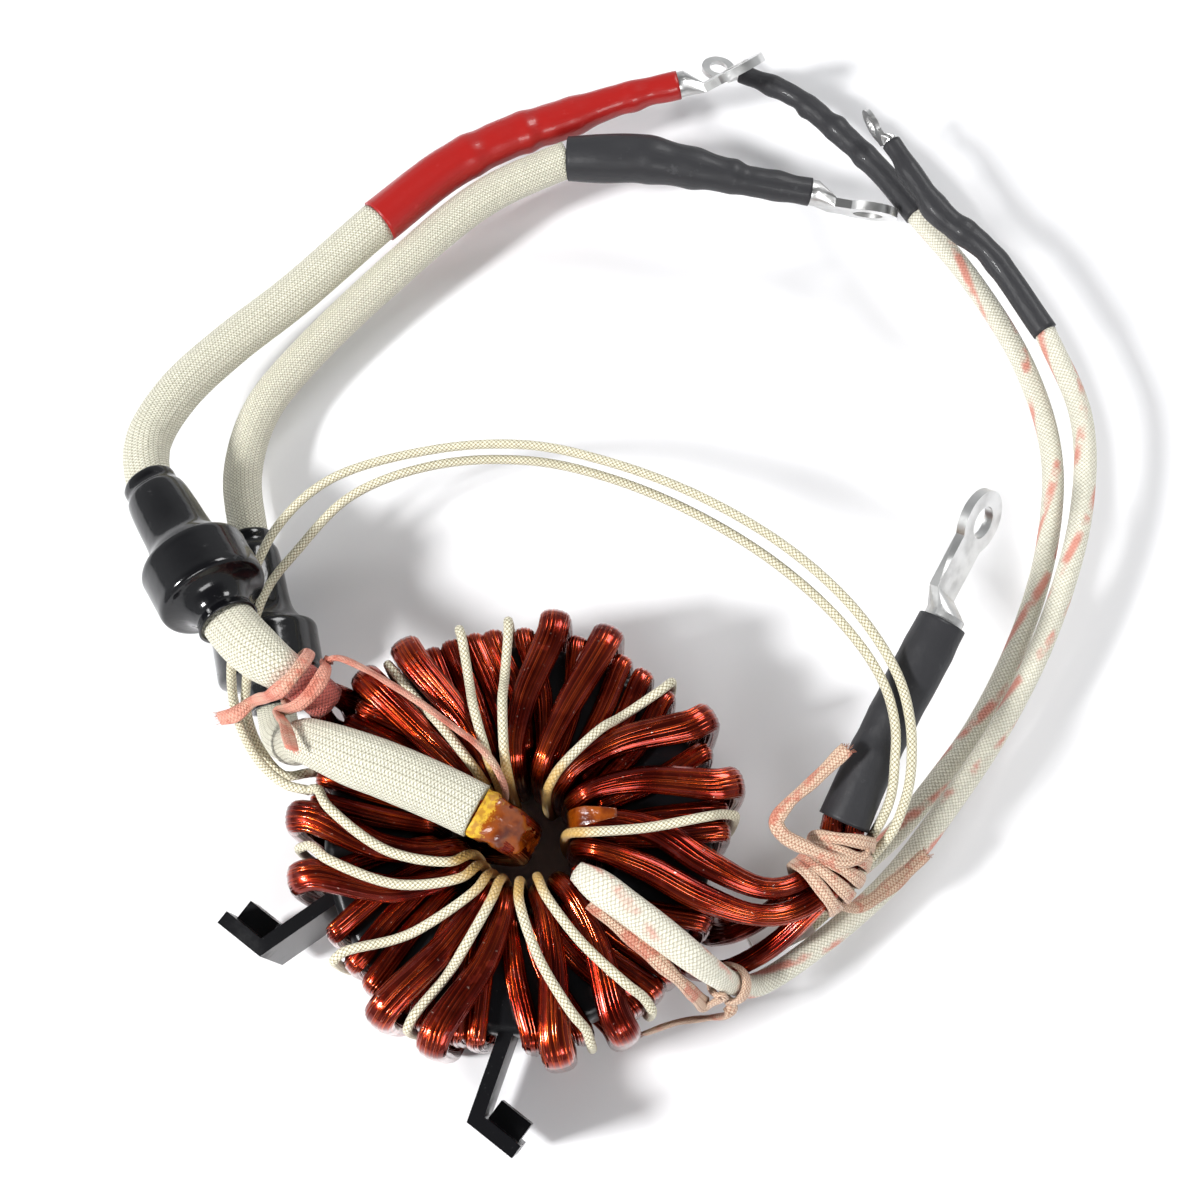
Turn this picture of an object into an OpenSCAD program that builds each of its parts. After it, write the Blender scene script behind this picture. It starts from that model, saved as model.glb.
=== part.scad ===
// Centre-tapped high frequency transformer: a cased toroidal core carrying a primary, a two-part
// secondary and an auxiliary winding, with sleeved leads, bead chokes, cable lugs and a small plug.
// Millimetres. Z is the core's axis and points up; z = 0 is the surface the transformer lies on.

/* [Core and case] */
// Outer diameter of the wound-tape core
core_od = 90; // [88:0.5:92]
// Inner diameter of the core
core_id = 51; // [50:0.5:53]
// Height of the core
core_h = 27; // [24:0.5:30]
// Clearance between the core and its case
core_gap = 0.3; // [0.2:0.05:0.4]
// Wall of the moulded case
case_wall = 1.8; // [1.4:0.1:2]
// Radius on the long edges of the case
case_edge_r = 3; // [2.6:0.1:3.4]
// Height of the skirt on the cover that closes the case from below
cover_skirt_h = 4; // [3:0.5:6]
// Clearance between the cover's skirts and the walls they slip into
cover_gap = 0.15; // [0.1:0.05:0.2]

/* [Mounting legs] */
// Direction in which the two feet face, seen from above
leg_dir = 233; // [232:0.5:234]
// Distance from the core's axis to the plane of the feet
foot_plane = 60; // [58:0.5:64]
// Half the spacing of the two legs' corners
leg_half_spacing = 32.5; // [31:0.5:34]
// Half the spacing of the legs where they leave the case
leg_root_half = 25.8; // [25.4:0.1:26.2]
// Length of each foot outwards from its corner
foot_len = 12; // [10:0.5:15]
// Thickness of the legs and feet
leg_t = 3.4; // [3:0.1:3.8]
// Height of the nut boss on the inside of each foot
boss_h = 11; // [9:0.5:14]
// Depth of the nut boss behind the foot
boss_depth = 5; // [4:0.5:6]
// Length of the nut boss along the foot
boss_len = 9; // [8:0.5:10]
// Screw hole through each foot and its boss
foot_hole_d = 4.3; // [3.4:0.1:4.5]

/* [Windings] */
// Clearance between one layer of winding and the next
layer_gap = 0.3; // [0.25:0.05:0.35]
// Thickness of a primary bundle
thin_t = 3.7; // [3.3:0.1:3.9]
// Width of a primary bundle on the outside of the core
thin_w = 4.6; // [4:0.1:4.8]
// Width of a primary bundle inside the hole
thin_w_in = 3.8; // [3.2:0.1:3.9]
// Thickness of a secondary bundle on the outside of the core
thick_t = 4.7; // [4.3:0.1:5]
// Width of a secondary bundle on the outside of the core
thick_w = 7.8; // [7:0.1:8]
// Thickness of a secondary bundle inside the hole
thick_t_in = 6; // [5.6:0.1:6.2]
// Width of a secondary bundle inside the hole
thick_w_in = 5.1; // [4.8:0.1:5.2]
// Thickness of a secondary bundle where the sleeved wire passes below it
thick_t_low = 3.2; // [3:0.1:3.3]
// Diameter of the sleeved auxiliary wire
aux_d = 2.4; // [2:0.1:2.5]
// Thickness of the sleeved wire where it is pressed flat under the hole
aux_t_low = 1.2; // [1:0.05:1.25]

/* [Fat leads] */
// Diameter of the sleeve of lead A
sleeve_a_d = 11.4; // [10.6:0.1:11.6]
// Diameter of the sleeve of lead B
sleeve_b_d = 10; // [9:0.1:10.4]
// Width of the sleeve of lead B where it lies flat on the winding
sleeve_b_flat_w = 13.6; // [12:0.2:14]
// Thickness of that flat stretch
sleeve_b_flat_t = 7.6; // [7:0.1:7.8]

/* [Bead chokes] */
// Outer diameter of a bead core
bead_od = 25.4; // [24:0.5:27]
// Bore of a bead core
bead_id = 15.6; // [15:0.1:16]
// Height of a bead core
bead_h = 12.7; // [11:0.1:14]
// Wall of the shrunk jacket
jacket_wall = 1; // [0.8:0.1:1.2]
// Clearance between the sleeve and the jacket around it
jacket_gap = 0.4; // [0.3:0.1:0.5]
// Length of the jacket from the bead's middle to its upper neck
jacket_long = 34; // [30:1:36]
// Length of the jacket from the bead's middle to its lower neck
jacket_short = 15; // [14:0.5:16]

/* [Thin leads and plug] */
// Diameter of the sleeves of leads C and D
sleeve_c_d = 5.8; // [5:0.1:6]
// Diameter of the two wires that run to the plug
pair_d = 2.4; // [2:0.1:2.5]
// Length of the plug's housing
plug_l = 15.6; // [14:0.2:17]
// Width of the plug's housing
plug_w = 7.7; // [7.4:0.1:8]
// Height of the plug's housing
plug_h = 8.2; // [7.6:0.1:9]
// Pitch of the plug's two contacts
plug_pitch = 3.96; // [3.8:0.02:4]
// Square size of each contact cavity
cavity = 3; // [2.8:0.1:3.2]

/* [Cable lugs] */
// Hole of the two large lugs on leads A and B
lug_hole = 8.4; // [8.2:0.1:9]
// Outer diameter of their rings
lug_ring_od = 16.5; // [15:0.5:18]
// Outer diameter of their barrels
lug_barrel_od = 7.2; // [6.8:0.1:7.6]
// Thickness of their flattened palms
lug_t = 2.4; // [2:0.1:2.8]
// Outer diameter of the centre tap lug's barrel
tap_barrel_od = 10; // [9:0.1:10.6]
// Hole of the two small lugs on leads C and D
small_hole = 5.3; // [5.2:0.1:5.6]
// Outer diameter of their rings
small_ring_od = 9.8; // [9.4:0.1:10.4]
// Outer diameter of their barrels
small_barrel_od = 4.6; // [4.2:0.1:5]
// Thickness of their palms
small_t = 1.2; // [1:0.1:1.4]

/* [Hidden] */

$fn = 48;

// Case and layers, worked out from the core outwards
case_id = core_id - 2 * (core_gap + case_wall);
case_od = core_od + 2 * (core_gap + case_wall);
case_h = core_h + 2 * (core_gap + case_wall);
case_ri = case_id / 2;
case_ro = case_od / 2;
mid_z = case_h / 2 + 2 * layer_gap + thin_t + thick_t;
case_top = mid_z + case_h / 2;
case_bottom = mid_z - case_h / 2;

// Centre lines of the three winding layers
thin_ri = case_ri - layer_gap - thin_t / 2;
thin_ro = case_ro + layer_gap + thin_t / 2;
thin_zt = case_top + layer_gap + thin_t / 2;
thin_zb = case_bottom - layer_gap - thin_t / 2;
thin_face_ri = thin_ri - thin_t / 2;
thin_face_ro = thin_ro + thin_t / 2;
thin_face_zt = thin_zt + thin_t / 2;
thin_face_zb = thin_zb - thin_t / 2;
thick_ri = thin_face_ri - layer_gap - thick_t_in / 2;
thick_ro = thin_face_ro + layer_gap + thick_t / 2;
thick_zt = thin_face_zt + layer_gap + thick_t / 2;
thick_zb = thin_face_zb - layer_gap - thick_t / 2;
thick_face_ri = thick_ri - thick_t_in / 2;
thick_face_zt = thick_zt + thick_t / 2;
thick_zb_low = thin_face_zb - layer_gap - thick_t_low / 2;
aux_ri = thick_face_ri - layer_gap - aux_d / 2;
aux_ro = thin_face_ro + layer_gap + aux_d / 2;
aux_zt_high = thick_face_zt + layer_gap + aux_d / 2;
aux_zt_low = thin_face_zt + layer_gap + aux_d / 2;
aux_zb_high = thin_face_zb - layer_gap - aux_d / 2;
aux_zb_low = aux_t_low / 2 + 0.05;

// Angles at which the primary's turns cross the outer edge, seen from above
thin_out = [
  0.2, 6.1, 23.5, 43.1, 51.7, 59, 73.2, 88.9, 98, 103.6, 110.5, 116.5, 141, 147, 156, 164,
  171.6, 193, 209, 219, 226.5, 242.6, 253, 259, 274.7, 288.6, 304.5, 311.2, 317.6, 334.3
];
// Their even spacing round the hole
thin_first = -5;
thin_pitch = 11.3;
thin_lean = 8;
// Angles of the secondary's bundles at the outer edge and in the hole; each half is two in hand
thick_a_out = [135.3, 122, 80.6, 65.8, 31, 12.5, -10, -20];
thick_a_in = [135, 115, 92, 70, 48, 28, 7, -14];
thick_b_out = [-61.6, -79, -110.9, -126, -167.5, -183.5];
thick_b_in = [-50, -71, -98, -118, -145, -165, -185, -205];
// Where the secondary's bundles come down the outside at the start of each half
riser_a = [150.5, 142];
riser_b = [-22.5, -33];
// Angles of the auxiliary turns at the outer edge and in the hole
aux_out = [128.3, 106.8, 93.3, 44.5, 4.2, -52.6, -70.3, -118.5, -144.6, -175.5, -191.5];
aux_in = [126, 113, 100, 54, -4, -66, -87, -108, -122, -137, -152];
// Where each turn lies between the secondary's bundles below, further out and further in
aux_low_mid = [
  [157, 151], [118.5, 104.5], [95, 82], [86, 75], [40.8, 31.8], [-11.7, -19.5],
  [-56.5, -67.3], [-79.6, -90.5], [-127, -139], [-153.7, -161.9], [-180.3, -186]
];
// Turns that cross over a bundle of the secondary on top
aux_over = [0, 0, 0, 0, 1, 1, 1, 0, 0, 1, 1];
aux_start = 161;

// Routes of the leads, as points on their centre lines
route_a = [
  [-47.5, 32, 42.5], [-51, 34.5, 47], [-56.5, 37.6, 50.6], [-63.3, 42.4, 50.4], [-71.9, 51.4, 46.2],
  [-79.4, 63.4, 42.9], [-88.2, 77.5, 39], [-96.8, 91.2, 35.2], [-99.3, 104.5, 31], [-94, 119.3, 27],
  [-81.6, 135.3, 23.5], [-63, 153, 22], [-42, 174, 22]
];
route_b = [
  [-9, 3, 55.6], [-17, 7, 55.2], [-30, 12.5, 54.8], [-38, 15.5, 53.8], [-45, 18.6, 51.2],
  [-51.6, 21.6, 46], [-55.6, 22.6, 36], [-58.6, 24.4, 27], [-62.3, 28, 19.2], [-64.8, 35, 14.4],
  [-68, 51, 14.1], [-71.4, 67, 14.1], [-74.8, 83, 14.1], [-78, 102, 13], [-74, 120, 13],
  [-62, 137, 14], [-40, 159, 17], [-13, 182, 21], [10.9, 192.6, 24]
];
shrink_a = [
  [-42, 174, 22], [-24, 190, 22], [-6, 200.5, 22], [9, 206.2, 22], [25.6, 211.6, 24], [42.1, 215, 26]
];
shrink_a_d = [12.4, 12, 11.6, 11, 8.4, 8];
shrink_b = [
  [10.9, 192.6, 24], [20.8, 192, 25], [31, 192, 25], [46.6, 188.9, 25], [62.9, 185.3, 24],
  [78.8, 183.2, 22]
];
shrink_b_d = [12.4, 13.4, 13.2, 11, 8.4, 8];
route_c = [
  [14.5, -10.5, 50.5], [19, -13.8, 53], [26, -18.8, 52.8], [34, -24.6, 50.5], [41, -29.7, 47.5],
  [46.5, -33, 41], [51.5, -34.8, 32], [58, -34.8, 24.5], [72, -26.4, 20.6], [92, -10, 18],
  [107, 8, 19], [122, 29, 21], [137, 57, 23], [147, 88, 25], [148.5, 113.4, 26.5], [140.3, 137.8, 27.5]
];
shrink_c = [[140.3, 137.8, 27.5], [126.1, 161.2, 28.5], [113.5, 172.7, 29], [106, 184.5, 30], [101, 194, 30]];
shrink_c_d = [6.8, 6.8, 7.2, 6, 5.4];
route_d = [
  [59.2, -17, 6.5], [66, -16.6, 4], [74, -13.5, 4], [83, -7, 5.5], [95, 3, 9.5], [107, 17, 13],
  [119, 33, 14.5], [131, 56, 16], [139.4, 80.5, 17], [142.1, 105.5, 18], [136.4, 131.2, 19],
  [123.2, 156.5, 20], [108.8, 177.3, 20]
];
shrink_d = [
  [108.8, 177.3, 20], [100, 190.9, 19], [87.8, 206.1, 17], [75.1, 218.6, 15.5], [61.2, 226.2, 14.5]
];
shrink_d_d = [6.8, 6.8, 6.8, 6, 5.4];
// The bundles that make the centre tap, between the winding and their shrunk sleeve
tap_a = [
  [[58, -13.4, 43.5], [66, -12.4, 41], [73.2, -7, 40.5]],
  [[55, -19.6, 44], [63, -19.4, 41.6], [70.6, -16.2, 40.6], [78, -9.8, 40.5]]
];
tap_b = [
  [[73.2, -7, 35.5], [67.5, -12.6, 34.3], [60.5, -18.3, 28.6], [54, -21.6, 21.5]],
  [[78, -9.8, 35.5], [71.5, -17, 34.3], [61.5, -26, 28], [50.8, -31.2, 20.5]]
];
shrink_tap = [[79, 3, 38], [84.5, 15, 41], [91.5, 28.5, 44], [98, 40.5, 46.5], [103.5, 50.5, 48.5]];
shrink_tap_d = [12.6, 12.2, 12.2, 12.8, 12.4];
// The last turn of the secondary's second half, rising through the hole into lead B
rise_b = [
  [[-11.8, -0.6, 11], [-7, -2.6, 22], [-1.5, -4.6, 33],
   [1.2, -5.4, 42], [-1, -4.4, 50.5], [-4.6, -2.6, 54.3]],
  [[-10.4, 5.4, 11], [-5.4, 2.6, 22], [0.6, 0.6, 33],
   [3.4, -0.4, 42], [1.2, 0.8, 50.5], [-2.3, 2.6, 54.3]]
];
bundle_end_w = 5.2;
bundle_end_t = 4.6;
// The two wires to the plug
route_p1 = [
  [-50, 9.4, 46], [-56.2, 11.3, 44], [-63.9, 18.2, 40], [-70.6, 30, 35.5], [-73.8, 42.9, 30.6],
  [-73.6, 51, 29.2], [-73, 58, 29], [-71.6, 66.5, 26.6], [-64.5, 82, 28.4], [-51, 94, 31],
  [-24, 101, 34.5], [1, 101, 38], [22, 95, 41.5], [45, 84, 46], [66, 69, 50.5], [82, 52, 53],
  [91, 36, 54], [93.4, 25, 54], [93.6, 16, 52.6], [93.2, 8.8, 47], [90.4, 0.6, 41],
  [86.6, -4.4, 33.5], [83.2, -9.4, 26], [80.2, -13.6, 19]
];
route_p2 = [
  [-52, 15.5, 36], [-58.2, 15, 35.4], [-65, 22.5, 35], [-69.2, 33, 32.4], [-69.9, 41.5, 30],
  [-69.8, 50, 29.6], [-68.2, 58.6, 29.6], [-65.8, 67, 26.8], [-60.3, 74.6, 27], [-46, 90, 28.6],
  [-24, 98, 31], [1, 98, 34.4], [22, 92, 37.8], [43, 81, 42.8], [63.5, 66, 47], [79, 49, 51.5],
  [87.4, 34.5, 53.6], [89.9, 24, 53.4], [89.8, 15.5, 51.4], [89.4, 7.8, 45.6], [86.8, 1.2, 38],
  [83, -3.9, 31], [79.4, -7.9, 24], [76.4, -11.5, 18]
];
plug_at = [65.3, -21.8, 13.8];
plug_yaw = 25.6;

// Frames of the straight stretches through the beads
bead_a_at = [-79.4, 63.4, 42.9];
bead_a_dir = [-25, 40, -11.1];
bead_b_at = [-68, 51, 14.1];
bead_b_dir = [-3.4, 16, 0];

// Dyed sleeving used as ties
tie_t = 1.3;
tie_w = 3.2;
tie_left_strip = [
  [-2.8, 8.9, 43], [-3.2, 10.4, 49.6], [-5.4, 14.6, 53], [-9.5, 19.3, 53.4], [-14, 22.7, 53.2],
  [-22, 28.5, 52.9], [-30, 34, 51], [-37.5, 38.5, 50.2], [-44, 41, 50.6]
];
tie_left_tail_1 = [[-66, 32, 41.5], [-70, 29, 41], [-74, 28.5, 39]];
tie_left_tail_2 = [[-59, 29.4, 41.6], [-55, 23.5, 53], [-52.5, 17.5, 57.5]];
tie_right_tail_1 = [
  [82.5, -5.5, 43.5], [77.4, -7.4, 46.4], [70, -5, 47], [63.4, -1.6, 47.2], [61.6, 1.5, 47.6],
  [64.5, 5.8, 48.8], [70.5, 11, 50.2], [78.5, 18.5, 52]
];
tie_right_tail_2 = [[75.5, -15.6, 33], [83, -16.4, 28], [93, -10, 25.5], [101, -3, 24.5]];
tie_bottom_tail = [[51.5, -41.5, 27.6], [47.5, -42.4, 21], [39, -43.4, 15], [31, -46, 11]];
tie_bottom_strip = [
  [17.5, -17.6, 50.2], [22, -21.6, 50.2], [28.5, -26.8, 50], [35, -32.4, 48], [39.4, -36, 44],
  [42.4, -38.4, 39], [45.4, -40, 32.5]
];

// ---------------------------------------------------------------- vector and sweep helpers
function unit(v) = v / norm(v);
function polar(r, a, z) = [r * cos(a), r * sin(a), z];
function facing(a, nr, nz) = [nr * cos(a), nr * sin(a), nz];
function last(v) = v[len(v) - 1];
function yaw(v) = atan2(v[1], v[0]);
function pitch(v) = asin(v[2] / norm(v));

// A sweep is a list of stations [place, outward normal, width, thickness]; a section has n corners.
// A station may carry its own direction as a fifth value.
function tangent(s, i) =
  len(s[i]) > 4 ? s[i][4] : unit(s[min(i + 1, len(s) - 1)][0] - s[max(i - 1, 0)][0]);
function across(s, i) = unit(cross(tangent(s, i), s[i][1]));
function ring(s, i, n, grow = 0) =
  let (t = tangent(s, i), w = across(s, i), o = cross(w, t), k = 1 / cos(180 / n))
  [for (j = [0:n - 1])
    let (a = 180 / n + 360 * j / n)
    s[i][0] + w * (s[i][2] / 2 + grow) * k * cos(a) + o * (s[i][3] / 2 + grow) * k * sin(a)];
function side_faces(m, n, from, flip) = [
  for (i = [0:m - 2], j = [0:n - 1])
    let (a = from + i * n + j, b = from + i * n + (j + 1) % n)
    each flip ? [[a, b + n, b], [a, a + n, b + n]] : [[a, b, b + n], [a, b + n, a + n]]
];

module sweep(s, n = 8) {
  m = len(s);
  points = [for (i = [0:m - 1]) each ring(s, i, n)];
  caps = [[for (j = [n - 1:-1:0]) j], [for (j = [0:n - 1]) (m - 1) * n + j]];
  polyhedron(points, concat(side_faces(m, n, 0, false), caps), convexity = 10);
}

// A sweep with a wall: the given section is its inner face.
module shell_sweep(s, wall, n = 8) {
  m = len(s);
  inside = [for (i = [0:m - 1]) each ring(s, i, n)];
  outside = [for (i = [0:m - 1]) each ring(s, i, n, wall)];
  k = m * n;
  lips = [
    for (e = [0, m - 1], j = [0:n - 1])
      let (a = e * n + j, b = e * n + (j + 1) % n)
      each e == 0 ? [[b + k, a + k, a], [b + k, a, b]] : [[a + k, b + k, b], [a + k, b, a]]
  ];
  faces = concat(side_faces(m, n, 0, true), side_faces(m, n, k, false), lips);
  polyhedron(concat(inside, outside), faces, convexity = 10);
}

// Stations along a route, with a normal that turns no more than the route does.
function carried(p, n0) = [
  for (i = 0, n = n0; i < len(p);
    i = i + 1,
    t = i < len(p) ? unit(p[min(i + 1, len(p) - 1)] - p[i - 1]) : [1, 0, 0],
    n = unit(n - (n * t) * t)) n
];
function route(p, w, t, n0 = [0, 0, 1], from = undef) =
  let (first = unit(p[1] - p[0]), n = carried(p, unit(n0 - (n0 * first) * first)))
  [for (i = [0:len(p) - 1])
    concat([p[i], n[i], is_list(w) ? w[i] : w, is_list(t) ? t[i] : t],
      i == 0 && is_list(from) ? [last_dir(from)] : [])];
// Directions in which a route starts and ends
function first_dir(p) = unit(p[1] - p[0]);
function last_dir(p) = unit(last(p) - p[len(p) - 2]);

// ---------------------------------------------------------------- turns of the windings
// One pass over the top, from the hole to the outer edge.
function thin_top(fi, fo) = [
  [polar(thin_ri, fi, thin_zt - 0.6), facing(fi, -1, 0.25), thin_w_in, thin_t],
  [polar(thin_ri + 0.7, fi, thin_zt), facing(fi, -0.25, 1), thin_w_in, thin_t],
  [polar(thin_ri + 13, fi + 0.45 * (fo - fi), thin_zt), facing(fi, 0, 1), thin_w, thin_t],
  [polar(thin_ro - 0.7, fo, thin_zt), facing(fo, 0.25, 1), thin_w, thin_t],
  [polar(thin_ro, fo, thin_zt - 0.6), facing(fo, 1, 0.25), thin_w, thin_t]
];
// One pass below, from the outer edge back to the hole.
function thin_low(fo, fi) = [
  [polar(thin_ro, fo, thin_zb + 0.6), facing(fo, 1, -0.25), thin_w, thin_t],
  [polar(thin_ro - 0.7, fo, thin_zb), facing(fo, 0.25, -1), thin_w, thin_t],
  [polar(thin_ri + 13, fi + 0.45 * (fo - fi), thin_zb), facing(fi, 0, -1), thin_w, thin_t],
  [polar(thin_ri + 0.7, fi, thin_zb), facing(fi, -0.25, -1), thin_w_in, thin_t],
  [polar(thin_ri, fi, thin_zb + 0.6), facing(fi, -1, -0.25), thin_w_in, thin_t]
];

thick_w_mid = thick_w * 0.84;
thick_w_low = thick_w * 0.72;
function thick_top_run(fi, fo) = [
  [polar(thick_ri, fi, thick_zt - 4), facing(fi, -1, 0), thick_w_in, thick_t_in],
  [polar(thick_ri + 1.2, fi, thick_zt - 1.2), facing(fi, -1, 1), thick_w_in, thick_t],
  [polar(thick_ri + 4, fi, thick_zt), facing(fi, 0, 1), thick_w_in, thick_t],
  [polar(thick_ri + 16, fi + 0.4 * (fo - fi), thick_zt), facing(fi, 0, 1), thick_w_mid, thick_t]
];
function thick_top(fi, fo) = concat(thick_top_run(fi, fo), [
  [polar(thick_ro - 4.4, fo, thick_zt), facing(fo, 0, 1), thick_w, thick_t],
  [polar(thick_ro - 1, fo, thick_zt - 1.2), facing(fo, 1, 1), thick_w, thick_t],
  [polar(thick_ro, fo, thick_zt - 4.6), facing(fo, 1, 0), thick_w, thick_t]
]);
function thick_low(fo, fi) =
  let (run = fo - fi, low = thick_zb_low)
  [
    [polar(thick_ro, fo, thick_zb + 4.6), facing(fo, 1, 0), thick_w, thick_t],
    [polar(thick_ro - 1, fo, thick_zb + 1.2), facing(fo, 1, -1), thick_w, thick_t],
    [polar(thick_ro - 4.4, fo, thick_zb), facing(fo, 0, -1), thick_w, thick_t],
    [polar(thick_ri + 19, fi + 0.7 * run, thick_zb), facing(fi, 0, -1), thick_w_low, thick_t],
    [polar(thick_ri + 12.5, fi + 0.42 * run, low), facing(fi, 0, -1), thick_w_in + 0.7, thick_t_low],
    [polar(thick_ri + 4.4, fi + 0.04 * run, low), facing(fi, 0, -1), thick_w_in, thick_t_low],
    [polar(thick_ri + 1.4, fi, low + 0.7), facing(fi, -1, -1), thick_w_in, thick_t_low + 1],
    [polar(thick_ri, fi, low + 3.6), facing(fi, -1, 0), thick_w_in, thick_t_in]
  ];

function aux_top(fi, fo, over) = [
  [polar(aux_ri, fi, thick_zt - 5), facing(fi, -1, 0), aux_d, aux_d],
  [polar(aux_ri + 1.6, fi, thick_zt + 0.6), facing(fi, -1, 0.6), aux_d, aux_d],
  [polar(aux_ri + 5.8, fi, aux_zt_high), facing(fi, -0.4, 1), aux_d, aux_d],
  [polar(aux_ri + 19, fi + 0.44 * (fo - fi), aux_zt_high), facing(fi, 0, 1), aux_d, aux_d],
  over == 1 ? [polar(aux_ri + 33, fi + 0.86 * (fo - fi), aux_zt_high), facing(fi, 0, 1), aux_d, aux_d]
    : [polar(aux_ri + 26, fi + 0.68 * (fo - fi), aux_zt_low), facing(fi, 0, 1), aux_d, aux_d],
  [polar(aux_ro - 3.4, fo, aux_zt_low + over), facing(fo, 0.1, 1), aux_d, aux_d],
  [polar(aux_ro - 0.6, fo, aux_zt_low - 1.8), facing(fo, 1, 0.8), aux_d, aux_d],
  [polar(aux_ro, fo, aux_zt_low - 5), facing(fo, 1, 0), aux_d, aux_d]
];
function aux_low(fo, mid, fi) = [
  [polar(aux_ro, fo, aux_zb_high + 5), facing(fo, 1, 0), aux_d, aux_d],
  [polar(aux_ro - 0.8, fo, aux_zb_high + 1.8), facing(fo, 1, -0.8), aux_d, aux_d],
  [polar(aux_ro - 4, fo, aux_zb_high), facing(fo, 0.1, -1), aux_d, aux_d],
  [polar(aux_ri + 26, mid[0], aux_zb_high), facing(mid[0], 0, -1), aux_d, aux_d],
  [polar(aux_ri + 18, mid[1], aux_zb_low), facing(mid[1], 0, -1), aux_d, aux_t_low],
  [polar(aux_ri + 5, fi, aux_zb_low), facing(fi, -0.1, -1), aux_d, aux_t_low],
  [polar(aux_ri + 0.9, fi, aux_zb_low + 1.8), facing(fi, -1, -0.8), aux_d, aux_t_low + 0.6],
  [polar(aux_ri, fi, aux_zb_low + 6), facing(fi, -1, 0), aux_d, aux_d]
];

// Distance of a station from the core's axis
function in_plan(s) = norm([s[0][0], s[0][1]]);

// A loose stretch of bundle, laid through the given points with its flat side up.
function loose(points, w, t, n = [0, 0, 1]) = [for (p = points) [p, n, w, t]];

// Ends of the two bundles side by side in the mouth of a sleeve that leaves along the route
function mouth(p, hand, up = 0) =
  let (dir = unit(p[1] - p[0]), side = unit(cross(dir, [0, 0, 1])))
  p[0] + side * (hand - 0.5) * (bundle_end_w + 0.2) + cross(side, dir) * up * (bundle_end_t + 0.2) / 2;

primary_turns = len(thin_out);
primary_in = [for (k = [0:primary_turns]) thin_first + thin_pitch * k];
function primary_path() =
  let (start = route_d[0], end_a = primary_in[primary_turns])
  concat(
    [[start, [0, 0, -1], 3.6, thin_t, -first_dir(route_d)],
     [polar(thin_ro + 1, yaw(start), thin_zb), [0, 0, -1], 3.6, thin_t]],
    [for (s = thin_low(yaw(start), primary_in[0] - thin_lean)) if (in_plan(s) < thin_ro - 1) s],
    [for (k = [0:primary_turns - 1])
      each concat(
        thin_top(primary_in[k], thin_out[k]),
        thin_low(thin_out[k], primary_in[k + 1] - thin_lean))],
    [[polar(thin_ri, end_a - 3, thin_zt - 1), facing(end_a - 3, -1, 0), thin_w_in, thin_t],
     [polar(thin_ri - 2.6, end_a - 6, thin_zt + 3.4), facing(end_a - 6, -1, 0.6),
      thin_w_in - 0.4, thin_t - 0.6],
     [route_c[0], facing(end_a - 8, -1, 0.8), thin_w_in - 0.4, thin_t - 0.6, first_dir(route_c)]]
  );

// The turns of one hand of a half: down outside, under, up the hole and over the top.
function thick_turns(hand, first_out, ins, outs, last_top) = [
  for (j = [0:3])
    let (fo = j == 0 ? first_out : outs[2 * (j - 1) + hand], fi = ins[2 * j + hand])
    each concat(
      thick_low(fo, fi),
      j < 3 ? thick_top(fi, outs[2 * j + hand]) : last_top ? thick_top_run(fi, outs[2 * j + hand]) : [])
];
function secondary_a_path(hand) =
  let (riser = riser_a[hand], out = thick_a_out[6 + hand])
  concat(
    [[mouth(route_a, hand), facing(riser, 1, 0.4), bundle_end_w, bundle_end_t, -first_dir(route_a)],
     [polar(thick_ro + 0.8, riser, 36), facing(riser, 1, 0.1), thick_w * 0.8, thick_t],
     [polar(thick_ro, riser, 28), facing(riser, 1, 0), thick_w, thick_t]],
    thick_turns(hand, riser, thick_a_in, thick_a_out, true),
    [[polar(thick_ro - 8, out, thick_zt - 0.4), [0, 0, 1], thick_w * 0.88, thick_t]],
    loose(tap_a[hand], bundle_end_w + 0.2, bundle_end_t),
    [concat(loose([mouth(shrink_tap, hand, 1)], bundle_end_w, bundle_end_t)[0], [first_dir(shrink_tap)])]
  );
function secondary_b_path(hand) =
  concat(
    [concat(loose([mouth(shrink_tap, hand, -1)], bundle_end_w, bundle_end_t)[0], [-first_dir(shrink_tap)])],
    loose(tap_b[hand], bundle_end_w + 0.2, bundle_end_t, facing(riser_b[hand], 0.7, -0.7)),
    thick_turns(hand, riser_b[hand], thick_b_in, thick_b_out, false),
    [for (i = [0:4]) [rise_b[hand][i], [0.9, -0.4, 0.1 * i], bundle_end_w - 0.1, bundle_end_t]],
    [[last(rise_b[hand]), [0.4, -0.2, 0.9], bundle_end_w - 0.1, bundle_end_t],
     [mouth(route_b, 1 - hand), [0, 0, 1], bundle_end_w, bundle_end_t, first_dir(route_b)]]
  );
function auxiliary_path() =
  concat(
    [[route_p2[0], facing(aux_start, 1, 0), aux_d, aux_d, -first_dir(route_p2)],
     [polar(aux_ro, aux_start, 27), facing(aux_start, 1, 0), aux_d, aux_d]],
    [for (k = [0:len(aux_out) - 1])
      each concat(
        aux_low(k == 0 ? aux_start : aux_out[k - 1], aux_low_mid[k], aux_in[k]),
        [for (s = aux_top(aux_in[k], aux_out[k], aux_over[k]))
          if (k < len(aux_out) - 1 || in_plan(s) < aux_ro - 3) s])],
    [[route_p1[0], facing(last(aux_out), 0.5, 1), aux_d, aux_d, first_dir(route_p1)]]
  );

// ---------------------------------------------------------------- core and case
copper = [0.55, 0.13, 0.06];
black = [0.05, 0.05, 0.055];
cream = [0.88, 0.86, 0.8];
tinned = [0.72, 0.73, 0.74];
dyed = [0.85, 0.35, 0.35];
amber = [0.8, 0.5, 0.1];

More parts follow.
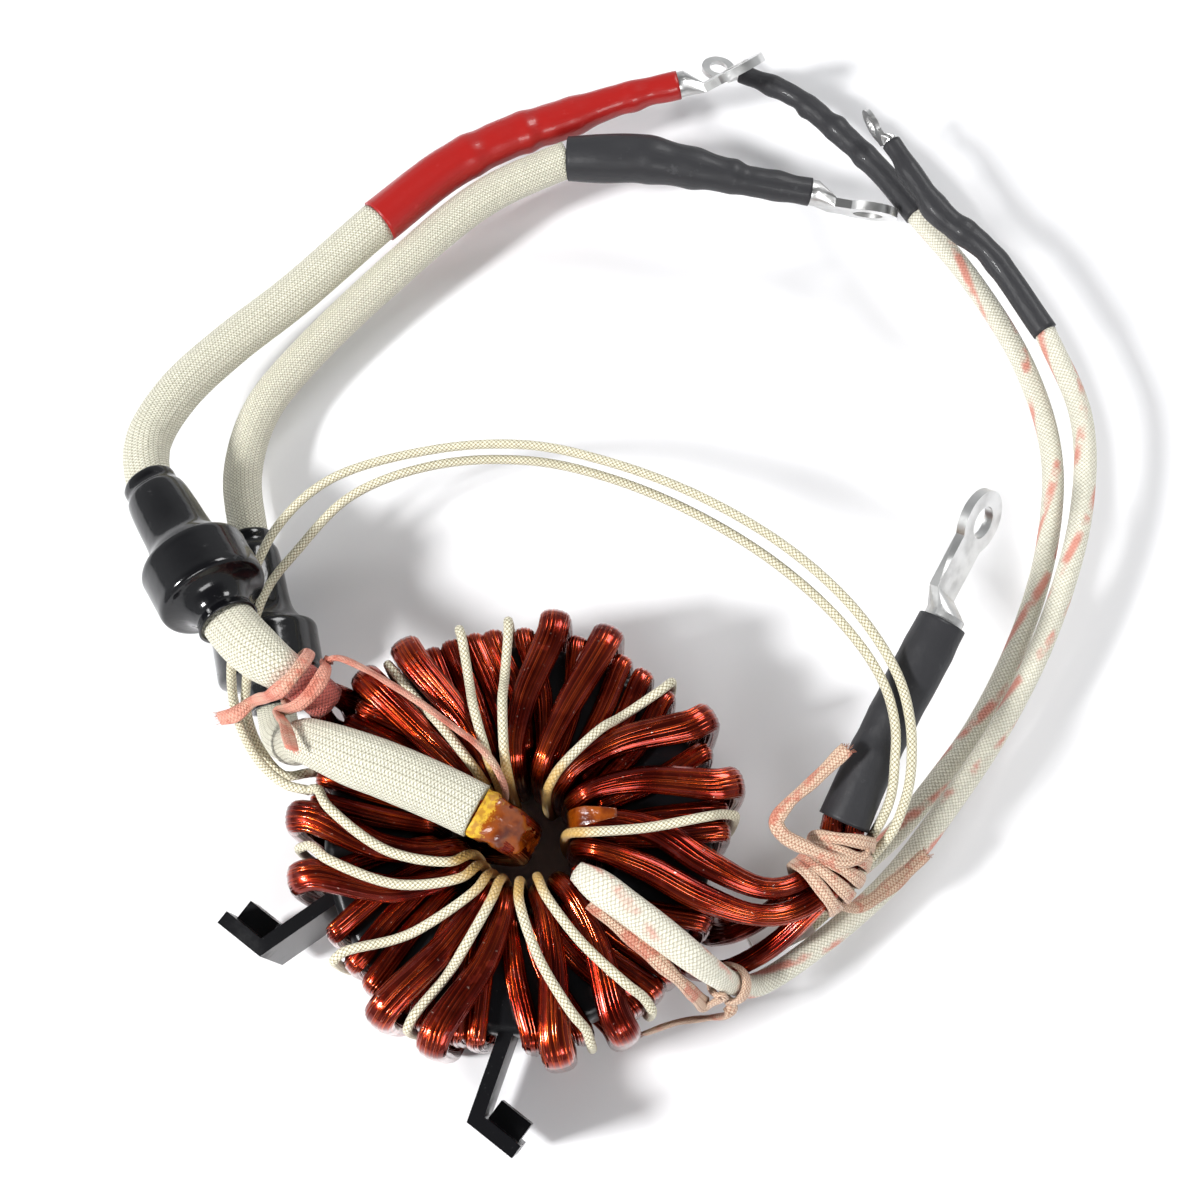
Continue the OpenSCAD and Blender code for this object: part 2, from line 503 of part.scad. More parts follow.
module ring_body(r0, r1, z0, z1) {
  translate([0, 0, z0]) difference() {
    cylinder(r = r1, h = z1 - z0);
    translate([0, 0, -1]) cylinder(r = r0, h = z1 - z0 + 2);
  }
}

module core_ring() {
  color([0.25, 0.25, 0.27])
  ring_body(core_id / 2, core_od / 2, mid_z - core_h / 2, mid_z + core_h / 2);
}

// Half section of the case without its inside, upper long edges rounded.
module shell_section(z0, z1, e) {
  intersection() {
    union() {
      translate([case_ri, z0]) square([case_ro - case_ri, z1 - z0 - e]);
      translate([case_ri + e, z0]) square([case_ro - case_ri - 2 * e, z1 - z0]);
      for (r = [case_ri + e, case_ro - e]) translate([r, z1 - e]) circle(e);
    }
    translate([case_ri, z0]) square([case_ro - case_ri, z1 - z0]);
  }
}

lap = case_wall / 2;
seam_z = case_bottom + case_wall;
inner_w = case_ro - case_ri - 2 * case_wall;

module case_shell() {
  rotate_extrude() difference() {
    shell_section(seam_z, case_top, case_edge_r);
    translate([case_ri + case_wall, seam_z - 1]) square([inner_w, case_top - case_wall - seam_z + 1]);
    translate([case_ri + lap, seam_z - 1])
      square([case_ro - case_ri - 2 * lap, cover_skirt_h + cover_gap + 1]);
  }
}

// One leg, in a frame with x towards the feet: an oblique web, then the foot turned outwards.
leg_h = case_h - case_edge_r / 2;
root_u = sqrt(case_ro * case_ro - leg_root_half * leg_root_half) - 2;
web = unit([foot_plane - leg_t / 2 - root_u, leg_half_spacing - leg_root_half]);
web_slope = web[1] / web[0];
foot_end = leg_half_spacing + foot_len;
// Centre of the foot's screw hole, along the foot
foot_v = leg_half_spacing + foot_len / 2 + 0.4;
// Side of the web at a distance u from the core's axis: -1 is the inner side, 1 the outer one
function web_side(u, side) = [u, leg_root_half + side * leg_t / 2 / web[0] + (u - root_u) * web_slope];
module leg(side) {
  mirror([0, side < 0 ? 1 : 0, 0]) difference() {
    union() {
      linear_extrude(leg_h) polygon([
        web_side(root_u, -1), web_side(foot_plane, -1), [foot_plane, foot_end],
        [foot_plane - leg_t, foot_end], web_side(foot_plane - leg_t, 1), web_side(root_u, 1)
      ]);
      translate([foot_plane - leg_t - boss_depth, foot_v - boss_len / 2, (case_h - boss_h) / 2])
        cube([boss_depth + 1, boss_len, boss_h]);
    }
    translate([foot_plane - leg_t - boss_depth - 1, foot_v, case_h / 2]) rotate([0, 90, 0])
      cylinder(d = foot_hole_d, h = leg_t + boss_depth + 2);
  }
}

module case_body() {
  color(black) {
    case_shell();
    difference() {
      translate([0, 0, case_bottom]) rotate([0, 0, leg_dir]) for (side = [-1, 1]) leg(side);
      cylinder(r = case_ro - 0.8 * lap, h = case_top + 5);
      cylinder(r = case_ro + cover_gap, h = seam_z);
    }
  }
}

cover_edge_r = case_wall - 0.2;
module case_cover() {
  color(black) rotate_extrude() {
    translate([0, case_bottom + case_bottom + case_wall]) mirror([0, 1])
      shell_section(case_bottom, case_bottom + case_wall, cover_edge_r);
    for (r = [case_ri + lap + cover_gap, case_ro - case_wall])
      translate([r, seam_z - 0.2]) square([lap - cover_gap, cover_skirt_h + 0.2]);
  }
}

// ---------------------------------------------------------------- windings
module primary_winding() {
  color(copper) sweep(primary_path());
}
module secondary_winding_a() {
  color(copper) for (hand = [0, 1]) sweep(secondary_a_path(hand));
}
module secondary_winding_b() {
  color(copper) for (hand = [0, 1]) sweep(secondary_b_path(hand));
}
module auxiliary_winding() {
  color(cream) sweep(auxiliary_path(), 6);
}

// Insulating tape round the two bundles that leave through the hole
tape_t = 0.3;
tape_in_w = 11.6;
tape_in_t = 6.6;
tape_route = [[2.3, -2.9, 42.5], [1.3, -2.4, 46.2], [0.1, -1.8, 50.5], [-3.45, 0, 54.3], route_b[0]];
tape_normal = [[0.9, -0.4, 0], [0.9, -0.4, 0.1], [0.9, -0.4, 0.4], [0.4, -0.2, 0.9], [0, 0, 1]];
module tape_wrap_lead_b() {
  color(amber)
  shell_sweep([for (i = [0:4])
    concat([tape_route[i], tape_normal[i], tape_in_w, tape_in_t],
      i == 4 ? [first_dir(route_b)] : [])], tape_t, 12);
}

// A strip of the same tape over one bundle at the rim of the hole
rim_a = 12;
rim_w = 4.6;
rim_strip = [
  [polar(12.6, rim_a, 36), facing(rim_a, -1, 0)], [polar(12.6, rim_a, 41.5), facing(rim_a, -1, 0.1)],
  [polar(14.6, rim_a - 1, 47.4), facing(rim_a, -1, 1)],
  [polar(19.5, rim_a - 2.5, 49.55), facing(rim_a, -0.1, 1)],
  [polar(24, rim_a - 3.5, 49.6), facing(rim_a, 0, 1)]
];
module tape_wrap_rim() {
  color(amber) sweep([for (s = rim_strip) [s[0], s[1], rim_w, tape_t]], 4);
}

// ---------------------------------------------------------------- fat leads
// Turns the z axis to the given direction.
module along(dir) {
  rotate([0, 90 - pitch(dir), yaw(dir)]) children();
}

module lead_a_sleeve() {
  color(cream) sweep(route(route_a, sleeve_a_d, sleeve_a_d), 12);
}
b_flat = [for (i = [0:len(route_b) - 1]) i < 4 ? 1 : i == 4 ? 0.6 : i == 5 ? 0.25 : 0];
module lead_b_sleeve() {
  color(cream) sweep(
    route(route_b,
      [for (f = b_flat) sleeve_b_d + f * (sleeve_b_flat_w - sleeve_b_d)],
      [for (f = b_flat) sleeve_b_d + f * (sleeve_b_flat_t - sleeve_b_d)]),
    12);
}

module bead_core() {
  translate([0, 0, -bead_h / 2]) difference() {
    cylinder(d = bead_od, h = bead_h);
    translate([0, 0, -1]) cylinder(d = bead_id, h = bead_h + 2);
  }
}
// Shrunk sleeve over bead and lead: half section from the short neck to the long one.
module bead_jacket(d) {
  neck = d / 2 + jacket_gap;
  drum = bead_od / 2 + 0.15;
  h = bead_h / 2;
  w = jacket_wall;
  rotate_extrude() polygon([
    [neck + 0.6, -jacket_short], [neck, -jacket_short + 2.5], [drum, -h - 0.3], [drum, h + 0.3],
    [neck + 1.2, h + 7.5], [neck, jacket_long - 6], [neck + 1.4, jacket_long],
    [neck + w + 1.4, jacket_long], [neck + w, jacket_long - 6], [neck + w + 1.2, h + 7.5],
    [drum + w - 0.4, h + 0.6], [drum + w, h - 0.8], [drum + w, -h + 0.8], [drum + w - 0.4, -h - 0.6],
    [neck + w, -jacket_short + 2.5], [neck + w + 0.6, -jacket_short]
  ]);
}
module bead_a_core() {
  color([0.2, 0.2, 0.22]) translate(bead_a_at) along(bead_a_dir) bead_core();
}
module bead_a_jacket() {
  color(black) translate(bead_a_at) along(bead_a_dir) bead_jacket(sleeve_a_d);
}
module bead_b_core() {
  color([0.2, 0.2, 0.22]) translate(bead_b_at) along(bead_b_dir) bead_core();
}
module bead_b_jacket() {
  color(black) translate(bead_b_at) along(bead_b_dir) bead_jacket(sleeve_b_d);
}

module lead_a_shrink() {
  color([0.7, 0.05, 0.05]) sweep(route(shrink_a, shrink_a_d, shrink_a_d, from = route_a), 12);
}
module lead_b_shrink() {
  color(black) sweep(route(shrink_b, shrink_b_d, shrink_b_d, from = route_b), 12);
}

// ---------------------------------------------------------------- lugs
// Ring terminal pressed from tube. x runs from the barrel's mouth, and the palm follows the taper.
module lug(barrel_d, barrel_l, taper_l, palm_l, eye_d, hole_d, t, bend) {
  drop = (barrel_d - t) / 2;
  root = barrel_l + taper_l;
  difference() {
    union() {
      rotate([0, 90, 0]) cylinder(d = barrel_d, h = barrel_l);
      hull() {
        translate([barrel_l - 0.1, 0, 0]) rotate([0, 90, 0]) cylinder(d = barrel_d, h = 0.1, $fn = 24);
        translate([root - 0.1, -eye_d * 0.34, -drop - t / 2]) cube([0.1, eye_d * 0.68, t]);
      }
      translate([root, 0, -drop]) rotate([0, -bend, 0]) translate([-0.3, 0, -t / 2]) {
        translate([0, -eye_d * 0.34, 0]) cube([palm_l, eye_d * 0.68, t]);
        translate([palm_l + 0.3, 0, 0]) cylinder(d = eye_d, h = t);
      }
    }
    translate([root, 0, -drop]) rotate([0, -bend, 0]) translate([palm_l, 0, -t])
      cylinder(d = hole_d, h = 2 * t);
    translate([-1, 0, 0]) rotate([0, 90, 0]) cylinder(d = barrel_d * 0.72, h = barrel_l + 1);
  }
}
// Sets a lug on the end of a route: roll turns its palm about the barrel.
module at_end(p, roll) {
  dir = last(p) - p[len(p) - 2];
  translate(last(p)) rotate([0, -pitch(dir), yaw(dir)]) rotate([roll, 0, 0]) children();
}
big_barrel_l = 2;
big_taper_l = 5;
big_palm_l = 10.4;
small_barrel_l = 0.8;
small_taper_l = 1.6;
small_palm_l = 5;
tap_palm_l = 20;
module big_lug(bend) {
  lug(lug_barrel_od, big_barrel_l, big_taper_l, big_palm_l, lug_ring_od, lug_hole, lug_t, bend);
}
module small_lug() {
  lug(small_barrel_od, small_barrel_l, small_taper_l, small_palm_l, small_ring_od, small_hole, small_t, 0);
}
module lug_a() {
  color(tinned) at_end(shrink_a, -57) big_lug(14);
}
module lug_b() {
  color(tinned) at_end(shrink_b, -70) big_lug(1);
}
module lug_tap() {
  color(tinned) at_end(shrink_tap, 60)
    lug(tap_barrel_od, big_barrel_l, big_taper_l, tap_palm_l, lug_ring_od, lug_hole, lug_t, 0);
}
module lug_c() {
  color(tinned) at_end(shrink_c, 80) small_lug();
}
module lug_d() {
  color(tinned) at_end(shrink_d, 20) small_lug();
}
module tap_shrink() {
  color(black) sweep(route(shrink_tap, shrink_tap_d, shrink_tap_d), 12);
}

// ---------------------------------------------------------------- thin leads and plug
c_flat = [for (i = [0:len(route_c) - 1]) i < 4 ? 1 : i == 4 ? 0.8 : i == 5 ? 0.4 : 0];
module lead_c_sleeve() {
  color(cream) sweep(
    route(route_c, [for (f = c_flat) sleeve_c_d + 2 * f], [for (f = c_flat) sleeve_c_d - 1.8 * f]), 8);
}
module lead_c_shrink() {
  color(black) sweep(route(shrink_c, shrink_c_d, shrink_c_d, from = route_c), 8);
}
module lead_d_sleeve() {
  color(cream) sweep(route(route_d, sleeve_c_d, sleeve_c_d), 8);
}
module lead_d_shrink() {
  color(black) sweep(route(shrink_d, shrink_d_d, shrink_d_d, from = route_d), 8);
}

// Point in the plug's own frame: x towards the wires, y towards the latch.
function in_plug(p) =
  let (c = cos(plug_yaw), s = sin(plug_yaw))
  plug_at + [p[0] * c - p[1] * s, p[0] * s + p[1] * c, p[2]];
module plug_wire(p, side) {
  sweep(route(concat(p, [in_plug([plug_l / 2 + 0.05, side * plug_pitch / 2, 0])]), pair_d, pair_d));
}
module aux_lead_1() {
  color(cream) plug_wire(route_p1, -1);
}
module aux_lead_2() {
  color(cream) plug_wire(route_p2, 1);
}
module in_plug_frame() {
  translate(plug_at) rotate([0, 0, plug_yaw]) children();
}
latch_t = 1;
latch_gap = 1.2;
latch_w = 4.6;
module plug_housing() {
  color([0.93, 0.92, 0.88]) in_plug_frame() {
    difference() {
      translate([-plug_l / 2, -plug_w / 2, -plug_h / 2]) cube([plug_l, plug_w, plug_h]);
      for (side = [-1, 1])
        translate([-plug_l / 2 - 1, side * plug_pitch / 2 - cavity / 2, -cavity / 2])
          cube([plug_l + 2, cavity, cavity]);
    }
    translate([-plug_l / 2, plug_w / 2 + latch_gap, -latch_w / 2]) cube([plug_l - 1, latch_t, latch_w]);
    translate([-1, plug_w / 2 - 0.2, -latch_w / 2]) cube([2, latch_gap + 0.4, latch_w]);
    translate([-plug_l / 2, plug_w / 2 + 0.3, -latch_w / 2]) cube([1, latch_gap, latch_w]);
  }
}
contact_w = 2.4;
module plug_contacts() {
  color([0.8, 0.72, 0.45]) in_plug_frame()
    for (side = [-1, 1]) translate([0, side * plug_pitch / 2, 0]) {
      translate([-plug_l / 2 + 1, -contact_w / 2, -cavity / 2]) difference() {
        cube([8, contact_w, cavity]);
        translate([-1, 0.4, 0.5]) cube([5, contact_w - 0.8, cavity - 1]);
      }
      translate([0, 0, -(cavity - contact_w) / 2]) rotate([0, 90, 0]) cylinder(d = contact_w, h = plug_l / 2);
    }
}

// ---------------------------------------------------------------- ties
// Points winding round a bent axis (three places on it), from angle a0 to a1, with their normals.
function bend(p, t) =
  (1 - t) * (1 - 2 * t) * p[0] + 4 * t * (1 - t) * p[1] + t * (2 * t - 1) * p[2];
function coil(p, r, a0, a1, n) = [
  for (i = [0:n])
    let (t = i / n, a = a0 + (a1 - a0) * t, k = unit(bend(p, t + 0.01) - bend(p, t - 0.01)),
      u = unit(cross([0, 0, 1], k)), v = cross(k, u), out = u * cos(a) + v * sin(a))
    [bend(p, t) + out * r, out, tie_w, tie_t]
];
module strip(p, n0 = [0, 0, 1]) {
  sweep(route(p, tie_w, tie_t, n0), 6);
}

tie_left_axis = [[-50.6, 34.8, 47.2], [-53.2, 36, 48.9], [-56.2, 37.6, 50.4]];
tie_left_r = sleeve_a_d / 2 + tie_t / 2 + 0.45;
module tie_left() {
  loop = coil(tie_left_axis, tie_left_r, 160, -350, 20);
  color(dyed) {
    sweep(concat(
      route(tie_left_strip, tie_w, tie_t, [-1, 0, 0.3]),
      loop,
      loose(tie_left_tail_1, tie_w, tie_t, unit([-0.5, -0.6, 0.6]))), 6);
    strip(concat([loop[6][0] + 0.6 * loop[6][1]], tie_left_tail_2), loop[6][1]);
  }
}

tie_right_axis = [[69.6, -13.7, 37.9], [75.6, -8.4, 38], [78.4, -0.6, 38]];
tie_right_r = 7.7;
module tie_right() {
  turns = coil(tie_right_axis, tie_right_r, 250, 1230, 34);
  color(dyed) {
    sweep(concat(turns, loose(tie_right_tail_1, tie_w, tie_t, unit([-0.4, 0.2, 1]))), 6);
    strip(concat([turns[0][0] + 0.6 * turns[0][1]], tie_right_tail_2), turns[0][1]);
  }
}

tie_bottom_axis = [[49.4, -34.2, 35.6], [50.9, -34.8, 33], [52.6, -35, 30.6]];
module tie_bottom() {
  loop = coil(tie_bottom_axis, sleeve_c_d / 2 + tie_t / 2 + 0.5, 150, 600, 18);
  color(dyed) sweep(concat(
    route(tie_bottom_strip, tie_w, tie_t),
    loop,
    loose(tie_bottom_tail, tie_w, tie_t, [0.5, -0.8, 0.2])), 6);
}

core_ring();
case_body();
case_cover();
primary_winding();
secondary_winding_a();
secondary_winding_b();
auxiliary_winding();
tape_wrap_lead_b();
tape_wrap_rim();
lead_a_sleeve();
bead_a_core();
bead_a_jacket();
lead_a_shrink();
lug_a();
lead_b_sleeve();
bead_b_core();
bead_b_jacket();
lead_b_shrink();
lug_b();
lead_c_sleeve();
lead_c_shrink();
lug_c();
lead_d_sleeve();
lead_d_shrink();
lug_d();
tap_shrink();
lug_tap();
aux_lead_1();
aux_lead_2();
plug_housing();
plug_contacts();
tie_left();
tie_right();
tie_bottom();
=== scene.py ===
import math
from functools import partial

import bmesh
import bpy
import numpy as np
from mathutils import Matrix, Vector


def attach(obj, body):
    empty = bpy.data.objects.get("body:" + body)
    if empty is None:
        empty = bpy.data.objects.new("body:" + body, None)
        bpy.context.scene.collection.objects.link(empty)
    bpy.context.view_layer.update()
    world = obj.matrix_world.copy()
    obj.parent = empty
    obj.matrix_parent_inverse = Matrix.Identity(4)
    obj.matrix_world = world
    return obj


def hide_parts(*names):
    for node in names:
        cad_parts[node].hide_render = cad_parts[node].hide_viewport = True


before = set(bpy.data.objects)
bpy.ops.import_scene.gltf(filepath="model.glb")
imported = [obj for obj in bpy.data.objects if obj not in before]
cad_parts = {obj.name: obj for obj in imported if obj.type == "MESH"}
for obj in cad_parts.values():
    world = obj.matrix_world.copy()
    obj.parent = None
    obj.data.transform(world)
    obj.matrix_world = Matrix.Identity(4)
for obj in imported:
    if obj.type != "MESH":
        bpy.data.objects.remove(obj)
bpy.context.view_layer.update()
MM = 0.001

# ------------------------------------------------------------------ camera
# The view from above the near side of the wound core, tipped a little towards the leads' far ends.
CAMERA_PLACE = (19.75 * MM, -58.99 * MM, 450.21 * MM)
CAMERA_TILT = 16.0
LENS, SENSOR_WIDTH = 51.0, 36.0
CLIP_START = 0.01


def linked(name, data):
    """An object at the origin, in the scene."""
    thing = bpy.data.objects.new(name, data)
    bpy.context.scene.collection.objects.link(thing)
    return thing


camera_data = bpy.data.cameras.new("camera")
camera_data.lens = LENS
camera_data.sensor_width = SENSOR_WIDTH
camera_data.clip_start = CLIP_START
camera = linked("camera", camera_data)
camera.location = CAMERA_PLACE
camera.rotation_euler = (math.radians(CAMERA_TILT), 0, 0)
bpy.context.scene.camera = camera

# ------------------------------------------------------------------ fat leads: woven sleeves
# Each fat lead is a stiff bundle of enamelled wires inside a glass fibre sleeve, woven as a tube and
# pulled over the wires, which show through it as faint ribs with painted shade in the grooves between
# them. Lead A is round, and flattened where it is tied down; lead B lies flat on the winding before it
# dives over the edge.
SLEEVE_A_D = 11.4 * MM
SLEEVE_B_D = 10.0 * MM
ROUTE_A = [
    (-47.5, 32, 42.5), (-51, 34.5, 47), (-56.5, 37.6, 50.6), (-63.3, 42.4, 50.4), (-71.9, 51.4, 46.2),
    (-79.4, 63.4, 42.9), (-88.2, 77.5, 39), (-96.8, 91.2, 35.2), (-99.3, 104.5, 31), (-94, 119.3, 27),
    (-81.6, 135.3, 23.5), (-63, 153, 22), (-42, 174, 22),
]
ROUTE_B = [
    (-9, 3, 55.6), (-17, 7, 55.2), (-30, 12.5, 54.8), (-38, 15.5, 53.8), (-45, 18.6, 51.2),
    (-51.6, 21.6, 46), (-55.6, 22.6, 36), (-58.6, 24.4, 27), (-62.3, 28, 19.2), (-64.8, 35, 14.4),
    (-68, 51, 14.1), (-71.4, 67, 14.1), (-74.8, 83, 14.1), (-78, 102, 13), (-74, 120, 13),
    (-62, 137, 14), (-40, 159, 17), (-13, 182, 21), (10.9, 192.6, 24),
]
# Width and thickness, in mm, at the points where a sleeve isn't round
FLAT_A = {0: (10.0, 9.0), 1: (10.0, 9.0), 2: (10.6, 8.8), 3: (13.0, 9.6), 4: (13.4, 9.8), 5: (12.0, 11.0)}
FLAT_B = {0: (13.4, 7.6), 1: (13.6, 7.6), 2: (13.6, 7.6), 3: (13.4, 7.6), 4: (12.2, 8.6), 5: (10.9, 9.4)}
FAT_RIBS = {"sides": 40, "ribs": 9, "rib_depth": 0.22 * MM}


def smooth(rows, step):
    """Rows on a curve that passes through the given rows, whose first three columns are a place."""
    rows = np.asarray(rows, float)
    gap = np.maximum(np.linalg.norm(np.diff(rows[:, :3], axis=0), axis=1), 1e-6)
    knots = np.concatenate([[0], np.cumsum(np.sqrt(gap))])
    slope = np.gradient(rows, knots, axis=0)
    found = [rows[:1]]
    for i, length in enumerate(gap):
        count = max(2, int(math.ceil(length / step)))
        t = (np.arange(1, count + 1) / count)[:, None]
        h = knots[i + 1] - knots[i]
        found.append(
            (2 * t**3 - 3 * t**2 + 1) * rows[i]
            + (t**3 - 2 * t**2 + t) * h * slope[i]
            + (3 * t**2 - 2 * t**3) * rows[i + 1]
            + (t**3 - t**2) * h * slope[i + 1]
        )
    return np.vstack(found)


def unit(v):
    v = np.asarray(v, float)
    return v / np.maximum(np.linalg.norm(v, axis=-1, keepdims=True), 1e-12)


def along(places):
    """Distance of each place from the first one."""
    return np.concatenate([[0], np.cumsum(np.linalg.norm(np.diff(places, axis=0), axis=1))])


def carried(places, first=(0, 0, 1)):
    """A normal at each place that turns no more than the line does."""
    ways = unit(np.gradient(places, axis=0))
    normals = [unit(np.asarray(first) - ways[0] * np.dot(first, ways[0]))]
    for way in ways[1:]:
        normals.append(unit(normals[-1] - way * np.dot(normals[-1], way)))
    return np.array(normals)


def crossways(places, normals):
    """The unit vectors across a line and out of it, for normals that need not be square to it."""
    ways = unit(np.gradient(places, axis=0))
    across = unit(np.cross(ways, normals))
    return across, np.cross(across, ways)


def section(angle, squareness):
    """Where an angle falls on a unit section that lies between a circle and a square."""
    cos, sin = np.cos(angle), np.sin(angle)
    return np.sign(cos) * np.abs(cos) ** squareness, np.sign(sin) * np.abs(sin) ** squareness


def skin(name, rings, run, closed=False):
    """A smooth piece over rings of points, capped at both ends or closed back on its first ring.

    Its UV map runs 0 to 1 round it and in metres along it.
    """
    count, sides = rings.shape[:2]
    faces, uv = [], []
    for i in range(count if closed else count - 1):
        n = (i + 1) % count
        for j in range(sides):
            k = (j + 1) % sides
            faces.append((i * sides + j, i * sides + k, n * sides + k, n * sides + j))
            u0, u1 = j / sides, (j + 1) / sides
            uv += [(u0, run[i]), (u1, run[i]), (u1, run[n]), (u0, run[n])]
    if not closed:
        for ring, order in ((0, -1), (count - 1, 1)):
            faces.append(tuple(range(ring * sides, (ring + 1) * sides))[::order])
            uv += [(0.5, run[ring])] * sides
    mesh = bpy.data.meshes.new(name)
    mesh.from_pydata([tuple(v) for v in rings.reshape(-1, 3)], [], faces)
    mesh.update()
    mesh.uv_layers.new(name="run").data.foreach_set("uv", np.asarray(uv, np.float32).ravel())
    mesh.polygons.foreach_set("use_smooth", [True] * len(mesh.polygons))
    return linked(name, mesh)


def tube(name, places, across, out, half_w, half_t, sides, squareness=1.0, relief=None):
    """A capped tube along the places. relief gives its height by the turn and by the distance."""
    run = along(places)
    turn = np.arange(sides) / sides
    x, y = section(2 * np.pi * turn, squareness)
    lift = relief(turn[None, :], run[:, None]) if relief else np.zeros((len(run), sides))
    w = np.broadcast_to(np.asarray(half_w, float), run.shape)[:, None] + lift
    t = np.broadcast_to(np.asarray(half_t, float), run.shape)[:, None] + lift
    rings = (
        places[:, None, :]
        + across[:, None, :] * (w * x)[:, :, None]
        + out[:, None, :] * (t * y)[:, :, None]
    )
    return skin(name, rings, run)


def add(tree, kind, settings=None, *inputs, **named):
    """A node with its settings, and its sockets set to values or linked."""
    node = tree.nodes.new(kind)
    for key, value in (settings or {}).items():
        setattr(node, key, value)
    pairs = list(enumerate(inputs)) + [(key.replace("_", " "), value) for key, value in named.items()]
    for place, value in pairs:
        if value is None:
            continue
        if isinstance(value, bpy.types.NodeSocket):
            tree.links.new(value, node.inputs[place])
        else:
            node.inputs[place].default_value = value
    return node


def calc(tree, operation, *inputs):
    return add(tree, "ShaderNodeMath", {"operation": operation}, *inputs).outputs[0]


def ranged(tree, value, low, high, to_low=0.0, to_high=1.0):
    return add(
        tree, "ShaderNodeMapRange", {"interpolation_type": "SMOOTHSTEP"}, value, low, high, to_low, to_high
    ).outputs[0]


def mixed(tree, factor, a, b):
    """A colour between two, which are colours or sockets."""
    node = tree.nodes.new("ShaderNodeMix")
    node.data_type = "RGBA"
    for place, value in ((0, factor), (6, a), (7, b)):
        if isinstance(value, bpy.types.NodeSocket):
            tree.links.new(value, node.inputs[place])
        else:
            node.inputs[place].default_value = value if place == 0 else (*value[:3], 1)
    return node.outputs[2]


def noise(tree, vector, scale, detail=2.0, roughness=0.5):
    return add(
        tree, "ShaderNodeTexNoise", None, Vector=vector, Scale=scale, Detail=detail, Roughness=roughness
    ).outputs[0]


def new_material(name, **shader):
    """A material with one Principled shader whose plain values are set here, and its place socket."""
    material = bpy.data.materials.new(name)
    material.use_nodes = True
    tree = material.node_tree
    tree.nodes.clear()
    surface = add(tree, "ShaderNodeBsdfPrincipled", None, **shader)
    output = tree.nodes.new("ShaderNodeOutputMaterial")
    tree.links.new(surface.outputs[0], output.inputs[0])
    return material, tree, surface, add(tree, "ShaderNodeTexCoord").outputs["Object"]


def feed(tree, surface, **sockets):
    for key, value in sockets.items():
        tree.links.new(value, surface.inputs[key.replace("_", " ")])


def bumped(tree, height, distance, strength=1.0):
    return add(
        tree, "ShaderNodeBump", None, Strength=strength, Distance=distance, Height=height
    ).outputs[0]


def run_of(tree):
    """How far round a piece a point is, from 0 to 1, and how far along it, in metres."""
    uv = add(tree, "ShaderNodeUVMap", {"uv_map": "run"})
    return add(tree, "ShaderNodeSeparateXYZ", None, uv.outputs[0]).outputs[:2]


def new_group(name, tree_kind, inputs, outputs):
    """A node group. Every socket is given as its kind, then its default if it has one."""
    group = bpy.data.node_groups.new(name, tree_kind)
    for way, sockets in (("INPUT", inputs), ("OUTPUT", outputs)):
        for label, (kind, *default) in sockets.items():
            socket = group.interface.new_socket(label, in_out=way, socket_type="NodeSocket" + kind)
            if default:
                socket.default_value = default[0]
    return group, group.nodes.new("NodeGroupInput").outputs, group.nodes.new("NodeGroupOutput").inputs


def weave_group():
    """Two sets of yarns that wind round a tube both ways and pass over and under each other."""
    group, given, made = new_group(
        "tube weave", "ShaderNodeTree", {"Around": ("Float", 24.0), "Pitch": ("Float", 0.0015)},
        {"Height": ("Float",), "Yarn": ("Float",), "Tone": ("Float",)},
    )
    do = partial(calc, group)
    turn, length = run_of(group)
    round_it = do("MULTIPLY", turn, given["Around"])
    down_it = do("DIVIDE", length, given["Pitch"])
    ways = [do("ADD", round_it, down_it), do("SUBTRACT", round_it, down_it)]
    cells = [do("FLOOR", way) for way in ways]
    parity = do("PINGPONG", do("ADD", *cells), 1.0)
    humps = [do("SINE", do("MULTIPLY", do("FRACT", way), math.pi)) for way in ways]
    over_a, over_b = (
        do("MULTIPLY", own, do("MULTIPLY_ADD", other, 0.5, 0.5)) for own, other in (humps, humps[::-1])
    )
    keep = do("SUBTRACT", 1.0, parity)
    height = do("ADD", do("MULTIPLY", over_a, keep), do("MULTIPLY", over_b, parity))
    number = add(group, "ShaderNodeCombineXYZ", None, *cells, parity)
    tone = add(group, "ShaderNodeTexWhiteNoise", {"noise_dimensions": "3D"}, number.outputs[0]).outputs[0]
    yarn = ranged(group, height, 0.12, 0.62)
    for label, value in (("Height", height), ("Yarn", yarn), ("Tone", tone)):
        group.links.new(value, made[label])
    return group


def patches_group():
    """Uneven patches of wear, soil or dust: a mask where a noise rises through a range."""
    numbers = {"Scale": 100.0, "Low": 0.4, "High": 0.6, "Detail": 3.0, "Rough": 0.5}
    group, given, made = new_group(
        "patches", "ShaderNodeTree",
        {"Place": ("Vector",), **{label: ("Float", value) for label, value in numbers.items()}},
        {"Mask": ("Float",)},
    )
    spots = noise(group, given["Place"], given["Scale"], given["Detail"], given["Rough"])
    group.links.new(ranged(group, spots, given["Low"], given["High"]), made["Mask"])
    return group


TUBE_WEAVE = weave_group()
PATCHES = patches_group()


def patches(tree, place, scale, low, high, detail=3.0, rough=0.5):
    return add(
        tree, "ShaderNodeGroup", {"node_tree": PATCHES},
        Place=place, Scale=scale, Low=low, High=high, Detail=detail, Rough=rough,
    ).outputs[0]


